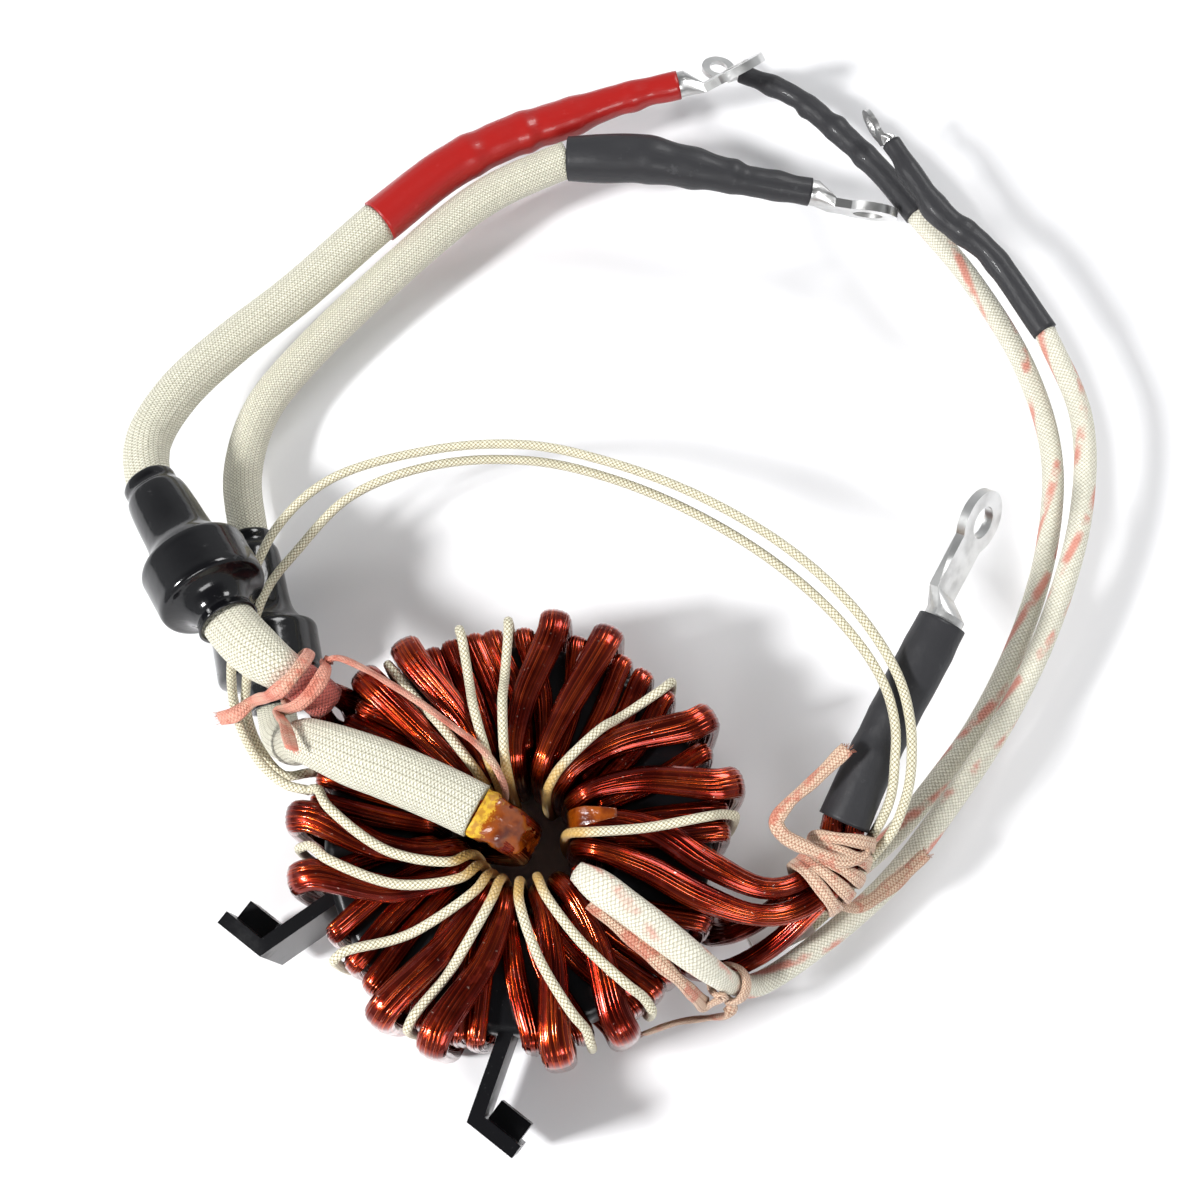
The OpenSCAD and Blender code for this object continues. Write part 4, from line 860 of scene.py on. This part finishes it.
def thick_turns(hand, first_out, ins, outs, last_top):
    """Four turns of one bundle. Its last one stops under the core or, with last_top, over it."""
    rows = []
    for j in range(4):
        fo = first_out if j == 0 else outs[2 * (j - 1) + hand]
        fi = ins[2 * j + hand]
        rows += thick_low(fo, fi)
        if j < 3 or last_top:
            rows += thick_top(fi, outs[2 * j + hand], whole=j < 3)
    return rows


def secondary_a_rows(hand):
    riser, last_out = RISER_A[hand], THICK_A_OUT[6 + hand]
    return [
        *loose([mouth(ROUTE_A, hand)], END_W, END_T, polar(1, riser, 0.4)),
        station(THICK_RO + 0.8, riser, 36, 1, 0.1, THICK_W * 0.8, THICK_T),
        station(THICK_RO, riser, 28, 1, 0, THICK_W, THICK_T),
        *thick_turns(hand, riser, THICK_A_IN, THICK_A_OUT, True),
        station(THICK_RO - 8, last_out, THICK_ZT - 0.4, 0, 1, THICK_W * 0.88, THICK_T),
        *loose(TAP_A[hand], END_W + 0.2, END_T),
        *loose([mouth(SHRINK_TAP, hand, 1)], END_W, END_T),
    ]


def secondary_b_rows(hand):
    side = polar(0.7, RISER_B[hand], -0.7)
    rows = loose([mouth(SHRINK_TAP, hand, -1)], END_W, END_T) + loose(TAP_B[hand], END_W + 0.2, END_T, side)
    rows += thick_turns(hand, RISER_B[hand], THICK_B_IN, THICK_B_OUT, False)
    for i, point in enumerate(RISE_B[hand][:-1]):
        rows += loose([point], END_W - 0.1, END_T, (0.9, -0.4, 0.1 * i))
    rows += loose([RISE_B[hand][-1]], END_W - 0.1, END_T, (0.4, -0.2, 0.9))
    return rows + loose([mouth(ROUTE_B, 1 - hand)], END_W, END_T)


def wires_of_bundle(rows, count, seed, step):
    """Middle lines of the wires round the outside of a bundle, wandering a little as they go."""
    chance = np.random.RandomState(seed)
    rows = smooth(np.array(rows), step)
    rows[:, 3:6] = unit(rows[:, 3:6])
    places = rows[:, :3]
    across, out = crossways(places, rows[:, 3:6])
    run = along(places)
    a, b = (rows[:, 6] - WIRE_D) / 2, (rows[:, 7] - WIRE_D) / 2
    fine = np.linspace(0, 2 * np.pi, 721)
    x, y = section(fine, BUNDLE_SQUARENESS)
    length = along(np.stack([np.mean(a) * x, np.mean(b) * y], 1))
    slow = 0.55 * np.sin(run / 31 + chance.uniform(0, 6.28))
    slow = slow + 0.3 * np.sin(run / 11 + chance.uniform(0, 6.28))
    lines = []
    for k in range(count):
        own = sum(
            0.16 * np.sin(run / wave + chance.uniform(0, 6.28)) for wave in chance.uniform(5, 16, 2)
        )
        share = ((k + slow + own) / count) % 1.0
        turn = np.interp(share * length[-1], length, fine)
        lift = 0.03 * np.sin(run / chance.uniform(8, 16) + chance.uniform(0, 6.28))
        x, y = section(turn, BUNDLE_SQUARENESS)
        lines.append(places + across * ((a + lift) * x)[:, None] + out * ((b + lift) * y)[:, None])
    return lines, (places, across, out, a, b)


def drawn_wire_tree():
    """Turns every chain of edges into a round wire of the given radius."""
    tree, given, made = new_group(
        "drawn wires", "GeometryNodeTree",
        {"Lines": ("Geometry",), "Radius": ("Float",), "Sides": ("Int",), "Material": ("Material",)},
        {"Wires": ("Geometry",)},
    )
    lines = add(tree, "GeometryNodeMeshToCurve", None, given["Lines"])
    circle = add(
        tree, "GeometryNodeCurvePrimitiveCircle", None, Resolution=given["Sides"], Radius=given["Radius"]
    )
    swept = add(
        tree, "GeometryNodeCurveToMesh", None, Curve=lines.outputs[0], Profile_Curve=circle.outputs[0]
    )
    swept.inputs["Fill Caps"].default_value = True
    soft = add(tree, "GeometryNodeSetShadeSmooth", None, swept.outputs[0])
    whole = add(tree, "GeometryNodeRealizeInstances", None, soft.outputs[0])
    coated = add(tree, "GeometryNodeSetMaterial", None, whole.outputs[0], Material=given["Material"])
    tree.links.new(coated.outputs[0], made["Wires"])
    return tree


DRAWN_WIRES = drawn_wire_tree()


def drawn(name, lines, radius, sides, material, shades=None):
    """A piece of round wires along the given lines, in metres, each with its own shade."""
    lines = [np.asarray(line) for line in lines]
    counts = [len(line) for line in lines]
    starts = np.concatenate([[0], np.cumsum(counts)])
    edges = [(s + i, s + i + 1) for s, count in zip(starts, counts) for i in range(count - 1)]
    mesh = bpy.data.meshes.new(name)
    mesh.from_pydata(np.vstack(lines).tolist(), edges, [])
    shade = mesh.attributes.new("shade", "FLOAT", "POINT")
    values = shades if shades is not None else np.random.RandomState(len(lines)).uniform(0, 1, len(lines))
    shade.data.foreach_set("value", np.repeat(values, counts).astype(np.float32))
    guide = linked(name + " guide", mesh)
    modifier = guide.modifiers.new("wires", "NODES")
    modifier.node_group = DRAWN_WIRES
    for item in DRAWN_WIRES.interface.items_tree:
        given = {"Radius": radius, "Sides": sides, "Material": material}.get(item.name)
        if given is not None:
            modifier[item.identifier] = given
    bpy.context.view_layer.update()
    baked = bpy.data.meshes.new_from_object(guide.evaluated_get(bpy.context.evaluated_depsgraph_get()))
    bpy.data.objects.remove(guide)
    baked.name = name
    return linked(name, baked)


def enamel():
    """Copper seen through red enamel, under varnish that has pooled in places."""
    material, tree, surface, place = new_material(
        "red enamel", IOR=1.55, Coat_Roughness=0.05, Coat_IOR=1.42
    )
    # Pieces without this attribute, the bundles' hearts, read 0 and take the darkest tone: painted shade
    # between the wires.
    own = add(tree, "ShaderNodeAttribute", {"attribute_name": "shade"}).outputs["Fac"]
    patch = patches(tree, place, 90.0, 0.35, 0.65)
    deep = mixed(tree, own, (0.10, 0.003, 0.0004), (0.26, 0.013, 0.001))
    bright = mixed(tree, own, (0.25, 0.012, 0.001), (0.58, 0.072, 0.003))
    base = mixed(tree, patch, deep, bright)
    pooled = patches(tree, place, 260.0, 0.58, 0.72, 3.0, 0.6)
    base = mixed(tree, calc(tree, "MULTIPLY", pooled, 0.45), base, (0.07, 0.003, 0.001))
    dust = patches(tree, place, 1100.0, 0.70, 0.75, 2.0)
    base = mixed(tree, calc(tree, "MULTIPLY", dust, 0.7), base, (0.70, 0.50, 0.42))
    feed(
        tree, surface, Base_Color=base,
        Metallic=ranged(tree, pooled, 0.0, 1.0, 0.94, 0.6),
        Roughness=ranged(tree, noise(tree, place, 260.0, 2.0), 0.3, 0.7, 0.15, 0.26),
        Coat_Weight=ranged(tree, patch, 0.0, 1.0, 0.3, 0.8),
        Normal=bumped(tree, noise(tree, place, 160.0, 2.0), 0.10 * MM),
    )
    return material


red_enamel = enamel()


def joined(pieces, name):
    """Several pieces made into the first of them, under a new name."""
    bpy.ops.object.select_all(action="DESELECT")
    for each in pieces:
        each.select_set(True)
    bpy.context.view_layer.objects.active = pieces[0]
    bpy.ops.object.join()
    pieces[0].name = pieces[0].data.name = name
    return pieces[0]


def winding(node, bundles, count, seed, step=3.2, sides=6, heart_sides=16):
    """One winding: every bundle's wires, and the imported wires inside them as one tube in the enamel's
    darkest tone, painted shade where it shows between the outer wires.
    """
    lines, shades, hearts = [], [], []
    chance = np.random.RandomState(seed)
    fill = 0.40 * WIRE_D
    for number, rows in enumerate(bundles):
        found, (places, across, out, a, b) = wires_of_bundle(rows, count, seed + number, step)
        lines += [line * MM for line in found]
        shades += list(chance.uniform(0, 1, count))
        # The heart gets no shade attribute, so it renders darkest, as painted shade in the gaps between the
        # wires.
        heart = tube(
            f"{node} heart {number}", places * MM, across, out, (a + fill) * MM, (b + fill) * MM,
            heart_sides, BUNDLE_SQUARENESS,
        )
        heart.data.materials.append(red_enamel)
        hearts.append(heart)
    wires = drawn(node + " wires", lines, WIRE_D * MM / 2, sides, red_enamel, np.array(shades))
    piece = joined([wires, *hearts], node + "_copper")
    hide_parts(node)
    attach(piece, "root")


winding("primary_winding", [primary_rows()], count=13, seed=40, step=3.8, sides=5, heart_sides=8)
winding("secondary_winding_a", [secondary_a_rows(hand) for hand in (0, 1)], count=18, seed=50)
winding("secondary_winding_b", [secondary_b_rows(hand) for hand in (0, 1)], count=18, seed=60)

# ------------------------------------------------------------------ auxiliary winding
# Eleven turns of the sleeved wire, laid last in the gaps between the bundles. Its braid has soaked up
# varnish and gone amber inside the core's hole.
THICK_FACE_RI = THICK_RI - THICK_T_IN / 2
THICK_FACE_ZT = THICK_ZT + THICK_T / 2
AUX_RI = THICK_FACE_RI - LAYER_GAP - AUX_D / 2
AUX_RO = THIN_RO + THIN_T / 2 + LAYER_GAP + AUX_D / 2
AUX_ZT_HIGH = THICK_FACE_ZT + LAYER_GAP + AUX_D / 2
AUX_ZT_LOW = THIN_ZT + THIN_T / 2 + LAYER_GAP + AUX_D / 2
AUX_ZB_HIGH = THIN_ZB - THIN_T / 2 - LAYER_GAP - AUX_D / 2
AUX_ZB_LOW = AUX_T_LOW / 2 + 0.05
AUX_OUT = [128.3, 106.8, 93.3, 44.5, 4.2, -52.6, -70.3, -118.5, -144.6, -175.5, -191.5]
AUX_IN = [126, 113, 100, 54, -4, -66, -87, -108, -122, -137, -152]
AUX_LOW_MID = [
    (157, 151), (118.5, 104.5), (95, 82), (86, 75), (40.8, 31.8), (-11.7, -19.5),
    (-56.5, -67.3), (-79.6, -90.5), (-127, -139), (-153.7, -161.9), (-180.3, -186),
]
AUX_OVER = [0, 0, 0, 0, 1, 1, 1, 0, 0, 1, 1]
AUX_START = 161


def aux_top(fi, fo, over):
    """A turn's stations out of the hole and over the top, high or low where it passes the bundles."""
    middle = (
        (AUX_RI + 33, fi + 0.86 * (fo - fi), AUX_ZT_HIGH, 0, 1)
        if over
        else (AUX_RI + 26, fi + 0.68 * (fo - fi), AUX_ZT_LOW, 0, 1)
    )
    return [station(*row, AUX_D, AUX_D) for row in (
        (AUX_RI, fi, THICK_ZT - 5, -1, 0),
        (AUX_RI + 1.6, fi, THICK_ZT + 0.6, -1, 0.6),
        (AUX_RI + 5.8, fi, AUX_ZT_HIGH, -0.4, 1),
        (AUX_RI + 19, fi + 0.44 * (fo - fi), AUX_ZT_HIGH, 0, 1),
        middle,
        (AUX_RO - 3.4, fo, AUX_ZT_LOW + over, 0.1, 1),
        (AUX_RO - 0.6, fo, AUX_ZT_LOW - 1.8, 1, 0.8),
        (AUX_RO, fo, AUX_ZT_LOW - 5, 1, 0),
    )]


def aux_low(fo, mid, fi):
    """A turn's stations from the outside, under the core and up into the hole, with thicknesses."""
    return [station(*row, AUX_D, t) for *row, t in (
        (AUX_RO, fo, AUX_ZB_HIGH + 5, 1, 0, AUX_D),
        (AUX_RO - 0.8, fo, AUX_ZB_HIGH + 1.8, 1, -0.8, AUX_D),
        (AUX_RO - 4, fo, AUX_ZB_HIGH, 0.1, -1, AUX_D),
        (AUX_RI + 26, mid[0], AUX_ZB_HIGH, 0, -1, AUX_D),
        (AUX_RI + 18, mid[1], AUX_ZB_LOW, 0, -1, AUX_T_LOW),
        (AUX_RI + 5, fi, AUX_ZB_LOW, -0.1, -1, AUX_T_LOW),
        (AUX_RI + 0.9, fi, AUX_ZB_LOW + 1.8, -1, -0.8, AUX_T_LOW + 0.6),
        (AUX_RI, fi, AUX_ZB_LOW + 6, -1, 0, AUX_D),
    )]


def stained(tree, place, run, yarns, colour):
    """Varnish soaked into the braid near the core's axis, with a ragged edge."""
    x, y = add(tree, "ShaderNodeSeparateXYZ", None, place).outputs[:2]
    do = partial(calc, tree)
    radius = do("SQRT", do("ADD", do("MULTIPLY", x, x), do("MULTIPLY", y, y)))
    ragged = do("ADD", radius, do("MULTIPLY", noise(tree, place, 220.0), 9 * MM))
    return mixed(tree, ranged(tree, ragged, 27 * MM, 17 * MM, 0.0, 0.85), colour, (0.62, 0.36, 0.06))


aux_rows = loose([ROUTE_P2[0]], AUX_D, AUX_D, polar(1, AUX_START, 0))
aux_rows.append(station(AUX_RO, AUX_START, 27, 1, 0, AUX_D, AUX_D))
before = AUX_START
for fi, mid, fo, over in zip(AUX_IN, AUX_LOW_MID, AUX_OUT, AUX_OVER):
    aux_rows += aux_low(before, mid, fi) + aux_top(fi, fo, over)
    before = fo
# The last turn stops on the top, where its end leaves for the plug
aux_rows = smooth(aux_rows[:-2] + loose([ROUTE_P1[0]], AUX_D, AUX_D, polar(0.5, AUX_OUT[-1], 1)), 1.5)
auxiliary = tube(
    "auxiliary_braid", *framed(aux_rows, MM), aux_rows[:, 6] * MM / 2, aux_rows[:, 7] * MM / 2, sides=12,
    relief=ribbed(3, 0.04 * MM, seed=31),
)
auxiliary.data.materials.append(woven("stained wire braid", **BRAID, dye=stained))
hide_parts("auxiliary_winding")
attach(auxiliary, "root")

# ------------------------------------------------------------------ amber tape
# Yellow insulating tape round the two bundles that rise out of the hole into lead B, soaked amber by
# the varnish and still dry at its upper end, and a second strip over one bundle at the hole's rim.
TAPE_LINE = [(2.3, -2.9, 42.5), (1.3, -2.4, 46.2), (0.1, -1.8, 50.5), (-3.45, 0, 54.3), (-9, 3, 55.6)]
TAPE_OUT = [(0.9, -0.4, 0), (0.9, -0.4, 0.1), (0.9, -0.4, 0.4), (0.4, -0.2, 0.9), (0, 0, 1)]
TAPE_W, TAPE_T = 12.2, 7.2
RIM_A = 12
# Radius, angle back from the first one, height, and the normal's two parts
RIM_LINE = [
    (12.6, 0, 36, -1, 0), (12.6, 0, 41.5, -1, 0.1), (14.6, 1, 47.4, -1, 1), (19.5, 2.5, 49.6, -0.1, 1),
    (24, 3.5, 49.7, 0, 1),
]


def soaked_tape(name, dry_from):
    """Yellow tape soaked amber by the varnish up to a ragged edge, at a distance along it."""
    material, tree, surface, place = new_material(name, Coat_Roughness=0.05, IOR=1.5)
    do = partial(calc, tree)
    ragged = do("ADD", run_of(tree)[1], do("MULTIPLY", noise(tree, place, 500.0, 5.0, 0.7), 9 * MM))
    dry = ranged(tree, ragged, dry_from, dry_from + 1.2 * MM)
    soaked = mixed(tree, patches(tree, place, 200.0, 0.35, 0.65), (0.10, 0.012, 0.001), (0.30, 0.062, 0.003))
    yellow = mixed(tree, patches(tree, place, 700.0, 0.4, 0.6), (0.48, 0.22, 0.010), (0.72, 0.44, 0.022))
    feed(
        tree, surface,
        Base_Color=mixed(tree, dry, soaked, yellow),
        Roughness=ranged(tree, dry, 0.0, 1.0, 0.18, 0.55),
        Coat_Weight=ranged(tree, dry, 0.0, 1.0, 0.7, 0.05),
        Normal=bumped(tree, noise(tree, place, 420.0, 4.0, 0.65), 0.3 * MM),
    )
    return material


def crumpled(turn, run):
    """Folds that cross the tape at a slant, deepest where the bundles inside it part."""
    coarse = np.sin(2 * np.pi * (2 * turn + run / (5.5 * MM)))
    folds = coarse + 0.6 * np.sin(2 * np.pi * (5 * turn - run / (3.1 * MM)))
    waist = np.abs(np.cos(2 * np.pi * turn)) ** 0.5
    return 0.22 * MM * folds - 0.9 * MM * (1 - waist) * (run < 16 * MM)


tape_rows = smooth([[*np.multiply(p, MM), *n] for p, n in zip(TAPE_LINE, TAPE_OUT)], 0.7 * MM)
tape_run = along(tape_rows[:, :3])
tape_wrap = tube(
    "tape_lead_b", *framed(tape_rows),
    np.interp(tape_run, [0, 10 * MM, 20 * MM], [4.6 * MM, 5.0 * MM, TAPE_W * MM / 2]),
    np.interp(tape_run, [0, 10 * MM, 20 * MM], [2.9 * MM, 3.0 * MM, TAPE_T * MM / 2]),
    sides=64, squareness=0.9, relief=crumpled,
)
tape_wrap.data.materials.append(soaked_tape("amber tape", 21.2 * MM))
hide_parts("tape_wrap_lead_b")
rim_rows = smooth([station(r, RIM_A - back, z, nr, nz, 0, 0) for r, back, z, nr, nz in RIM_LINE], 0.8)
rim_run = along(rim_rows[:, :3] * MM)
rim_half = np.interp(rim_run, [0, 14 * MM, 22 * MM], [2.4 * MM, 2.6 * MM, 1.2 * MM])
tape_rim = tube(
    "tape_rim", *framed(rim_rows, MM), rim_half, 0.35 * MM, sides=24, squareness=0.8,
    relief=ribbed(4, 0.3 * MM, seed=9),
)
tape_rim.data.materials.append(soaked_tape("amber rim tape", 40 * MM))
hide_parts("tape_wrap_rim")
for piece in (tape_wrap, tape_rim):
    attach(piece, "root")

# ------------------------------------------------------------------ dyed ties
# Strips of flattened glass fibre sleeving, dyed pink, tie the fat lead, the centre tap and lead C to
# the winding. They are wound round, tucked under themselves and cut, and their ends fray.
TIE_T, TIE_W = 1.5, 3.5
FRAY_COUNT, FRAY_D = 26, 0.14
TIE_LEFT_STRIP = [
    (-2.8, 8.9, 43), (-3.2, 10.4, 49.6), (-5.4, 14.6, 53), (-9.5, 19.3, 53.4), (-14, 22.7, 53.2),
    (-22, 28.5, 52.9), (-30, 34, 51), (-37.5, 38.5, 50.2), (-44, 41, 50.6),
]
TIE_LEFT_TAIL_1 = [(-66, 32, 41.5), (-70, 29, 41), (-74, 28.5, 39)]
TIE_LEFT_TAIL_2 = [(-59, 29.4, 41.6), (-55, 23.5, 53), (-52.5, 17.5, 57.5)]
TIE_RIGHT_TAIL_1 = [
    (82.5, -5.5, 43.5), (77.4, -7.4, 46.4), (70, -5, 47), (63.4, -1.6, 47.2), (61.6, 1.5, 47.6),
    (64.5, 5.8, 48.8), (70.5, 11, 50.2), (78.5, 18.5, 52),
]
TIE_RIGHT_TAIL_2 = [(75.5, -15.6, 33), (83, -16.4, 28), (93, -10, 25.5), (101, -3, 24.5)]
TIE_BOTTOM_STRIP = [
    (17.5, -17.6, 50.2), (22, -21.6, 50.2), (28.5, -26.8, 50), (35, -32.4, 48), (39.4, -36, 44),
    (42.4, -38.4, 39), (45.4, -40, 32.5),
]
TIE_BOTTOM_TAIL = [(51.5, -41.5, 27.6), (47.5, -42.4, 21), (39, -43.4, 15), (31, -46, 11)]
TIE_LEFT_AXIS = [(-50.6, 34.8, 47.2), (-53.2, 36, 48.9), (-56.2, 37.6, 50.4)]
TIE_RIGHT_AXIS = [(69.6, -13.7, 37.9), (75.6, -8.4, 38), (78.4, -0.6, 38)]
TIE_RIGHT_R = 7.7
TIE_BOTTOM_AXIS = [(49.4, -34.2, 35.6), (50.9, -34.8, 33), (52.6, -35, 30.6)]


def coil(axis, r, a0, a1, n):
    """Stations winding round an axis that bends through three places."""
    p = np.array(axis, float)

    def on_axis(t):
        return (1 - t) * (1 - 2 * t) * p[0] + 4 * t * (1 - t) * p[1] + t * (2 * t - 1) * p[2]

    rows = []
    for i in range(n + 1):
        t = i / n
        a = math.radians(a0 + (a1 - a0) * t)
        way = unit(on_axis(t + 0.01) - on_axis(t - 0.01))
        side = unit(np.cross((0, 0, 1), way))
        out = side * math.cos(a) + np.cross(way, side) * math.sin(a)
        rows.append([*(on_axis(t) + out * r), *out, TIE_W, TIE_T])
    return rows


def with_normals(points, normal):
    """Stations through the points, with a normal carried along them."""
    points = np.array(points, float)
    return [[*p, *n, TIE_W, TIE_T] for p, n in zip(points, carried(points, normal))]


def run_dye(tree, place, run, yarns, colour):
    """Red dye that has run: pink nearer lead A, stained in spots on the other side."""
    do = partial(calc, tree)
    side = ranged(tree, add(tree, "ShaderNodeSeparateXYZ", None, place).outputs[0], 20 * MM, -10 * MM)
    pinkish = do("MULTIPLY", side, patches(tree, place, 110.0, 0.30, 0.60))
    spots = patches(tree, place, 170.0, 0.50, 0.64, 4.0, 0.6)
    pink = mixed(tree, do("MULTIPLY", pinkish, 0.8), colour, (0.78, 0.30, 0.22))
    return mixed(tree, do("MULTIPLY", spots, 0.65), pink, (0.56, 0.11, 0.06))


# Its seven columns get painted shade in their grooves, as on the lead sleeves.
dyed_cloth = woven(
    "dyed cloth", (0.80, 0.60, 0.44), (0.44, 0.20, 0.12), around=9, pitch=0.9 * MM, depth=0.2 * MM,
    columns=7, dye=run_dye,
)


def tie_strip(name, rows, seed):
    """A flattened woven strip through the stations, and the filaments that fray from its far end."""
    rows = smooth(rows, 0.8)
    line, across, out = framed(rows, MM)
    chance = np.random.RandomState(seed)
    run = along(line)
    pinch = 1 + 0.12 * np.sin(run * 260 + chance.uniform(0, 6))
    pinch = pinch + 0.08 * np.sin(run * 610 + chance.uniform(0, 6))
    half_w, half_t = rows[:, 6] * MM / 2 * pinch, rows[:, 7] * MM / 2 * (2 - pinch)
    strip = tube(name, line, across, out, half_w, half_t, sides=16, squareness=0.85)
    strip.data.materials.append(dyed_cloth)
    way = unit(line[-1] - line[-2])
    fray = []
    for _ in range(FRAY_COUNT):
        u, v = chance.uniform(-1, 1, 2) * (1.4, 0.45)
        aside = across[-1] * u + out[-1] * v
        start = line[-1] - way * 0.5 * MM + aside * MM
        spread = aside * chance.uniform(0.1, 0.5) + chance.normal(0, 0.16, 3)
        reach = chance.uniform(0.7, 1.9) * MM
        fray.append([start + (way * s + spread * s * s) * reach for s in (0, 0.4, 0.7, 1)])
    return [strip, drawn(name + " fray", fray, FRAY_D * MM / 2, 3, dyed_cloth)]


left_loop = coil(TIE_LEFT_AXIS, SLEEVE_A_D / MM / 2 + TIE_T / 2 + 0.45, 160, -350, 20)
left_end = loose(TIE_LEFT_TAIL_1, TIE_W, TIE_T, unit((-0.5, -0.6, 0.6)))
left_tail = with_normals([left_loop[6][:3]] + TIE_LEFT_TAIL_2, left_loop[6][3:6])
right_turns = coil(TIE_RIGHT_AXIS, TIE_RIGHT_R, 250, 2060, 72)
right_end = loose(TIE_RIGHT_TAIL_1, TIE_W, TIE_T, unit((-0.4, 0.2, 1)))
right_tail = with_normals([right_turns[0][:3]] + TIE_RIGHT_TAIL_2, right_turns[0][3:6])
bottom_loop = coil(TIE_BOTTOM_AXIS, SLEEVE_C_D / MM / 2 + TIE_T / 2 + 0.5, 150, 600, 18)
bottom_end = loose(TIE_BOTTOM_TAIL, TIE_W, TIE_T, unit((0.5, -0.8, 0.2)))
for node, strips in (
    ("tie_left", [(with_normals(TIE_LEFT_STRIP, (-1, 0, 0.3)) + left_loop + left_end, 71), (left_tail, 72)]),
    ("tie_right", [(right_turns + right_end, 73), (right_tail, 74)]),
    ("tie_bottom", [(with_normals(TIE_BOTTOM_STRIP, (0, 0, 1)) + bottom_loop + bottom_end, 75)]),
):
    parts = [part for rows, seed in strips for part in tie_strip(f"{node} strip {seed}", rows, seed)]
    tie = joined(parts, node + "_cloth")
    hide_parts(node)
    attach(tie, "root")

# ------------------------------------------------------------------ floor and light
# A pale floor in a white tent that is open above. The floor turns white far off, where it meets the
# tent. A small strong lamp stands on the left, and two broader, weaker ones behind and in front.
FLOOR_SIZE = 6
GLOW_FROM, GLOW_TO = 0.5, 1.3
LAMPS_AIM = Vector((0.02, 0.05, 0.02))
# The heights, on a unit ball, where the tent's opening and its walls begin, and their strengths
TENT_OPEN, TENT_WALL = 0.95, 0.35
TENT_DIM, TENT_BRIGHT = 0.10, 0.52

bpy.ops.mesh.primitive_plane_add(size=FLOOR_SIZE, location=(0, 0, 0))
floor = bpy.context.object
floor.name = "floor"
floor_paint, floor_tree, floor_surface, floor_place = new_material(
    "floor paint", Roughness=0.6, Base_Color=(0.90, 0.90, 0.915, 1), Emission_Color=(1, 1, 1, 1)
)
floor_far = add(floor_tree, "ShaderNodeVectorMath", {"operation": "LENGTH"}, floor_place).outputs["Value"]
floor_seen = add(floor_tree, "ShaderNodeLightPath").outputs["Is Camera Ray"]
floor_glow = calc(floor_tree, "MULTIPLY", ranged(floor_tree, floor_far, GLOW_FROM, GLOW_TO), floor_seen)
feed(floor_tree, floor_surface, Emission_Strength=floor_glow)
floor.data.materials.append(floor_paint)

for lamp_name, place, size, power in (
    ("key", (-0.75, -0.25, 0.85), 0.17, 14.5),
    ("back", (0.55, 0.75, 0.80), 0.40, 6.0),
    ("front", (0.35, -0.85, 0.75), 0.40, 5.0),
):
    lamp_data = bpy.data.lights.new(lamp_name, "AREA")
    lamp_data.size = size
    lamp_data.energy = power
    lamp = linked(lamp_name, lamp_data)
    lamp.location = place
    lamp.rotation_euler = (LAMPS_AIM - Vector(place)).to_track_quat("-Z", "Y").to_euler()

world = bpy.data.worlds.new("surround")
bpy.context.scene.world = world
world.use_nodes = True
world.node_tree.nodes.clear()
world_tree = world.node_tree
ray = world_tree.nodes.new("ShaderNodeLightPath")
seen = calc(world_tree, "MAXIMUM", ray.outputs["Is Camera Ray"], ray.outputs["Is Transmission Ray"])
way_seen = add(world_tree, "ShaderNodeTexCoord").outputs["Generated"]
height = add(world_tree, "ShaderNodeSeparateXYZ", None, way_seen).outputs[2]
tent = ranged(world_tree, height, TENT_OPEN, TENT_WALL, TENT_DIM, TENT_BRIGHT)
even = add(world_tree, "ShaderNodeBackground", None, (0.96, 0.98, 1.0, 1), tent)
white = add(world_tree, "ShaderNodeBackground", None, (1, 1, 1, 1), 1.0)
either = add(world_tree, "ShaderNodeMixShader", None, seen, even.outputs[0], white.outputs[0])
world_out = world_tree.nodes.new("ShaderNodeOutputWorld")
world_tree.links.new(either.outputs[0], world_out.inputs[0])
bpy.context.scene.view_settings.view_transform = "Standard"
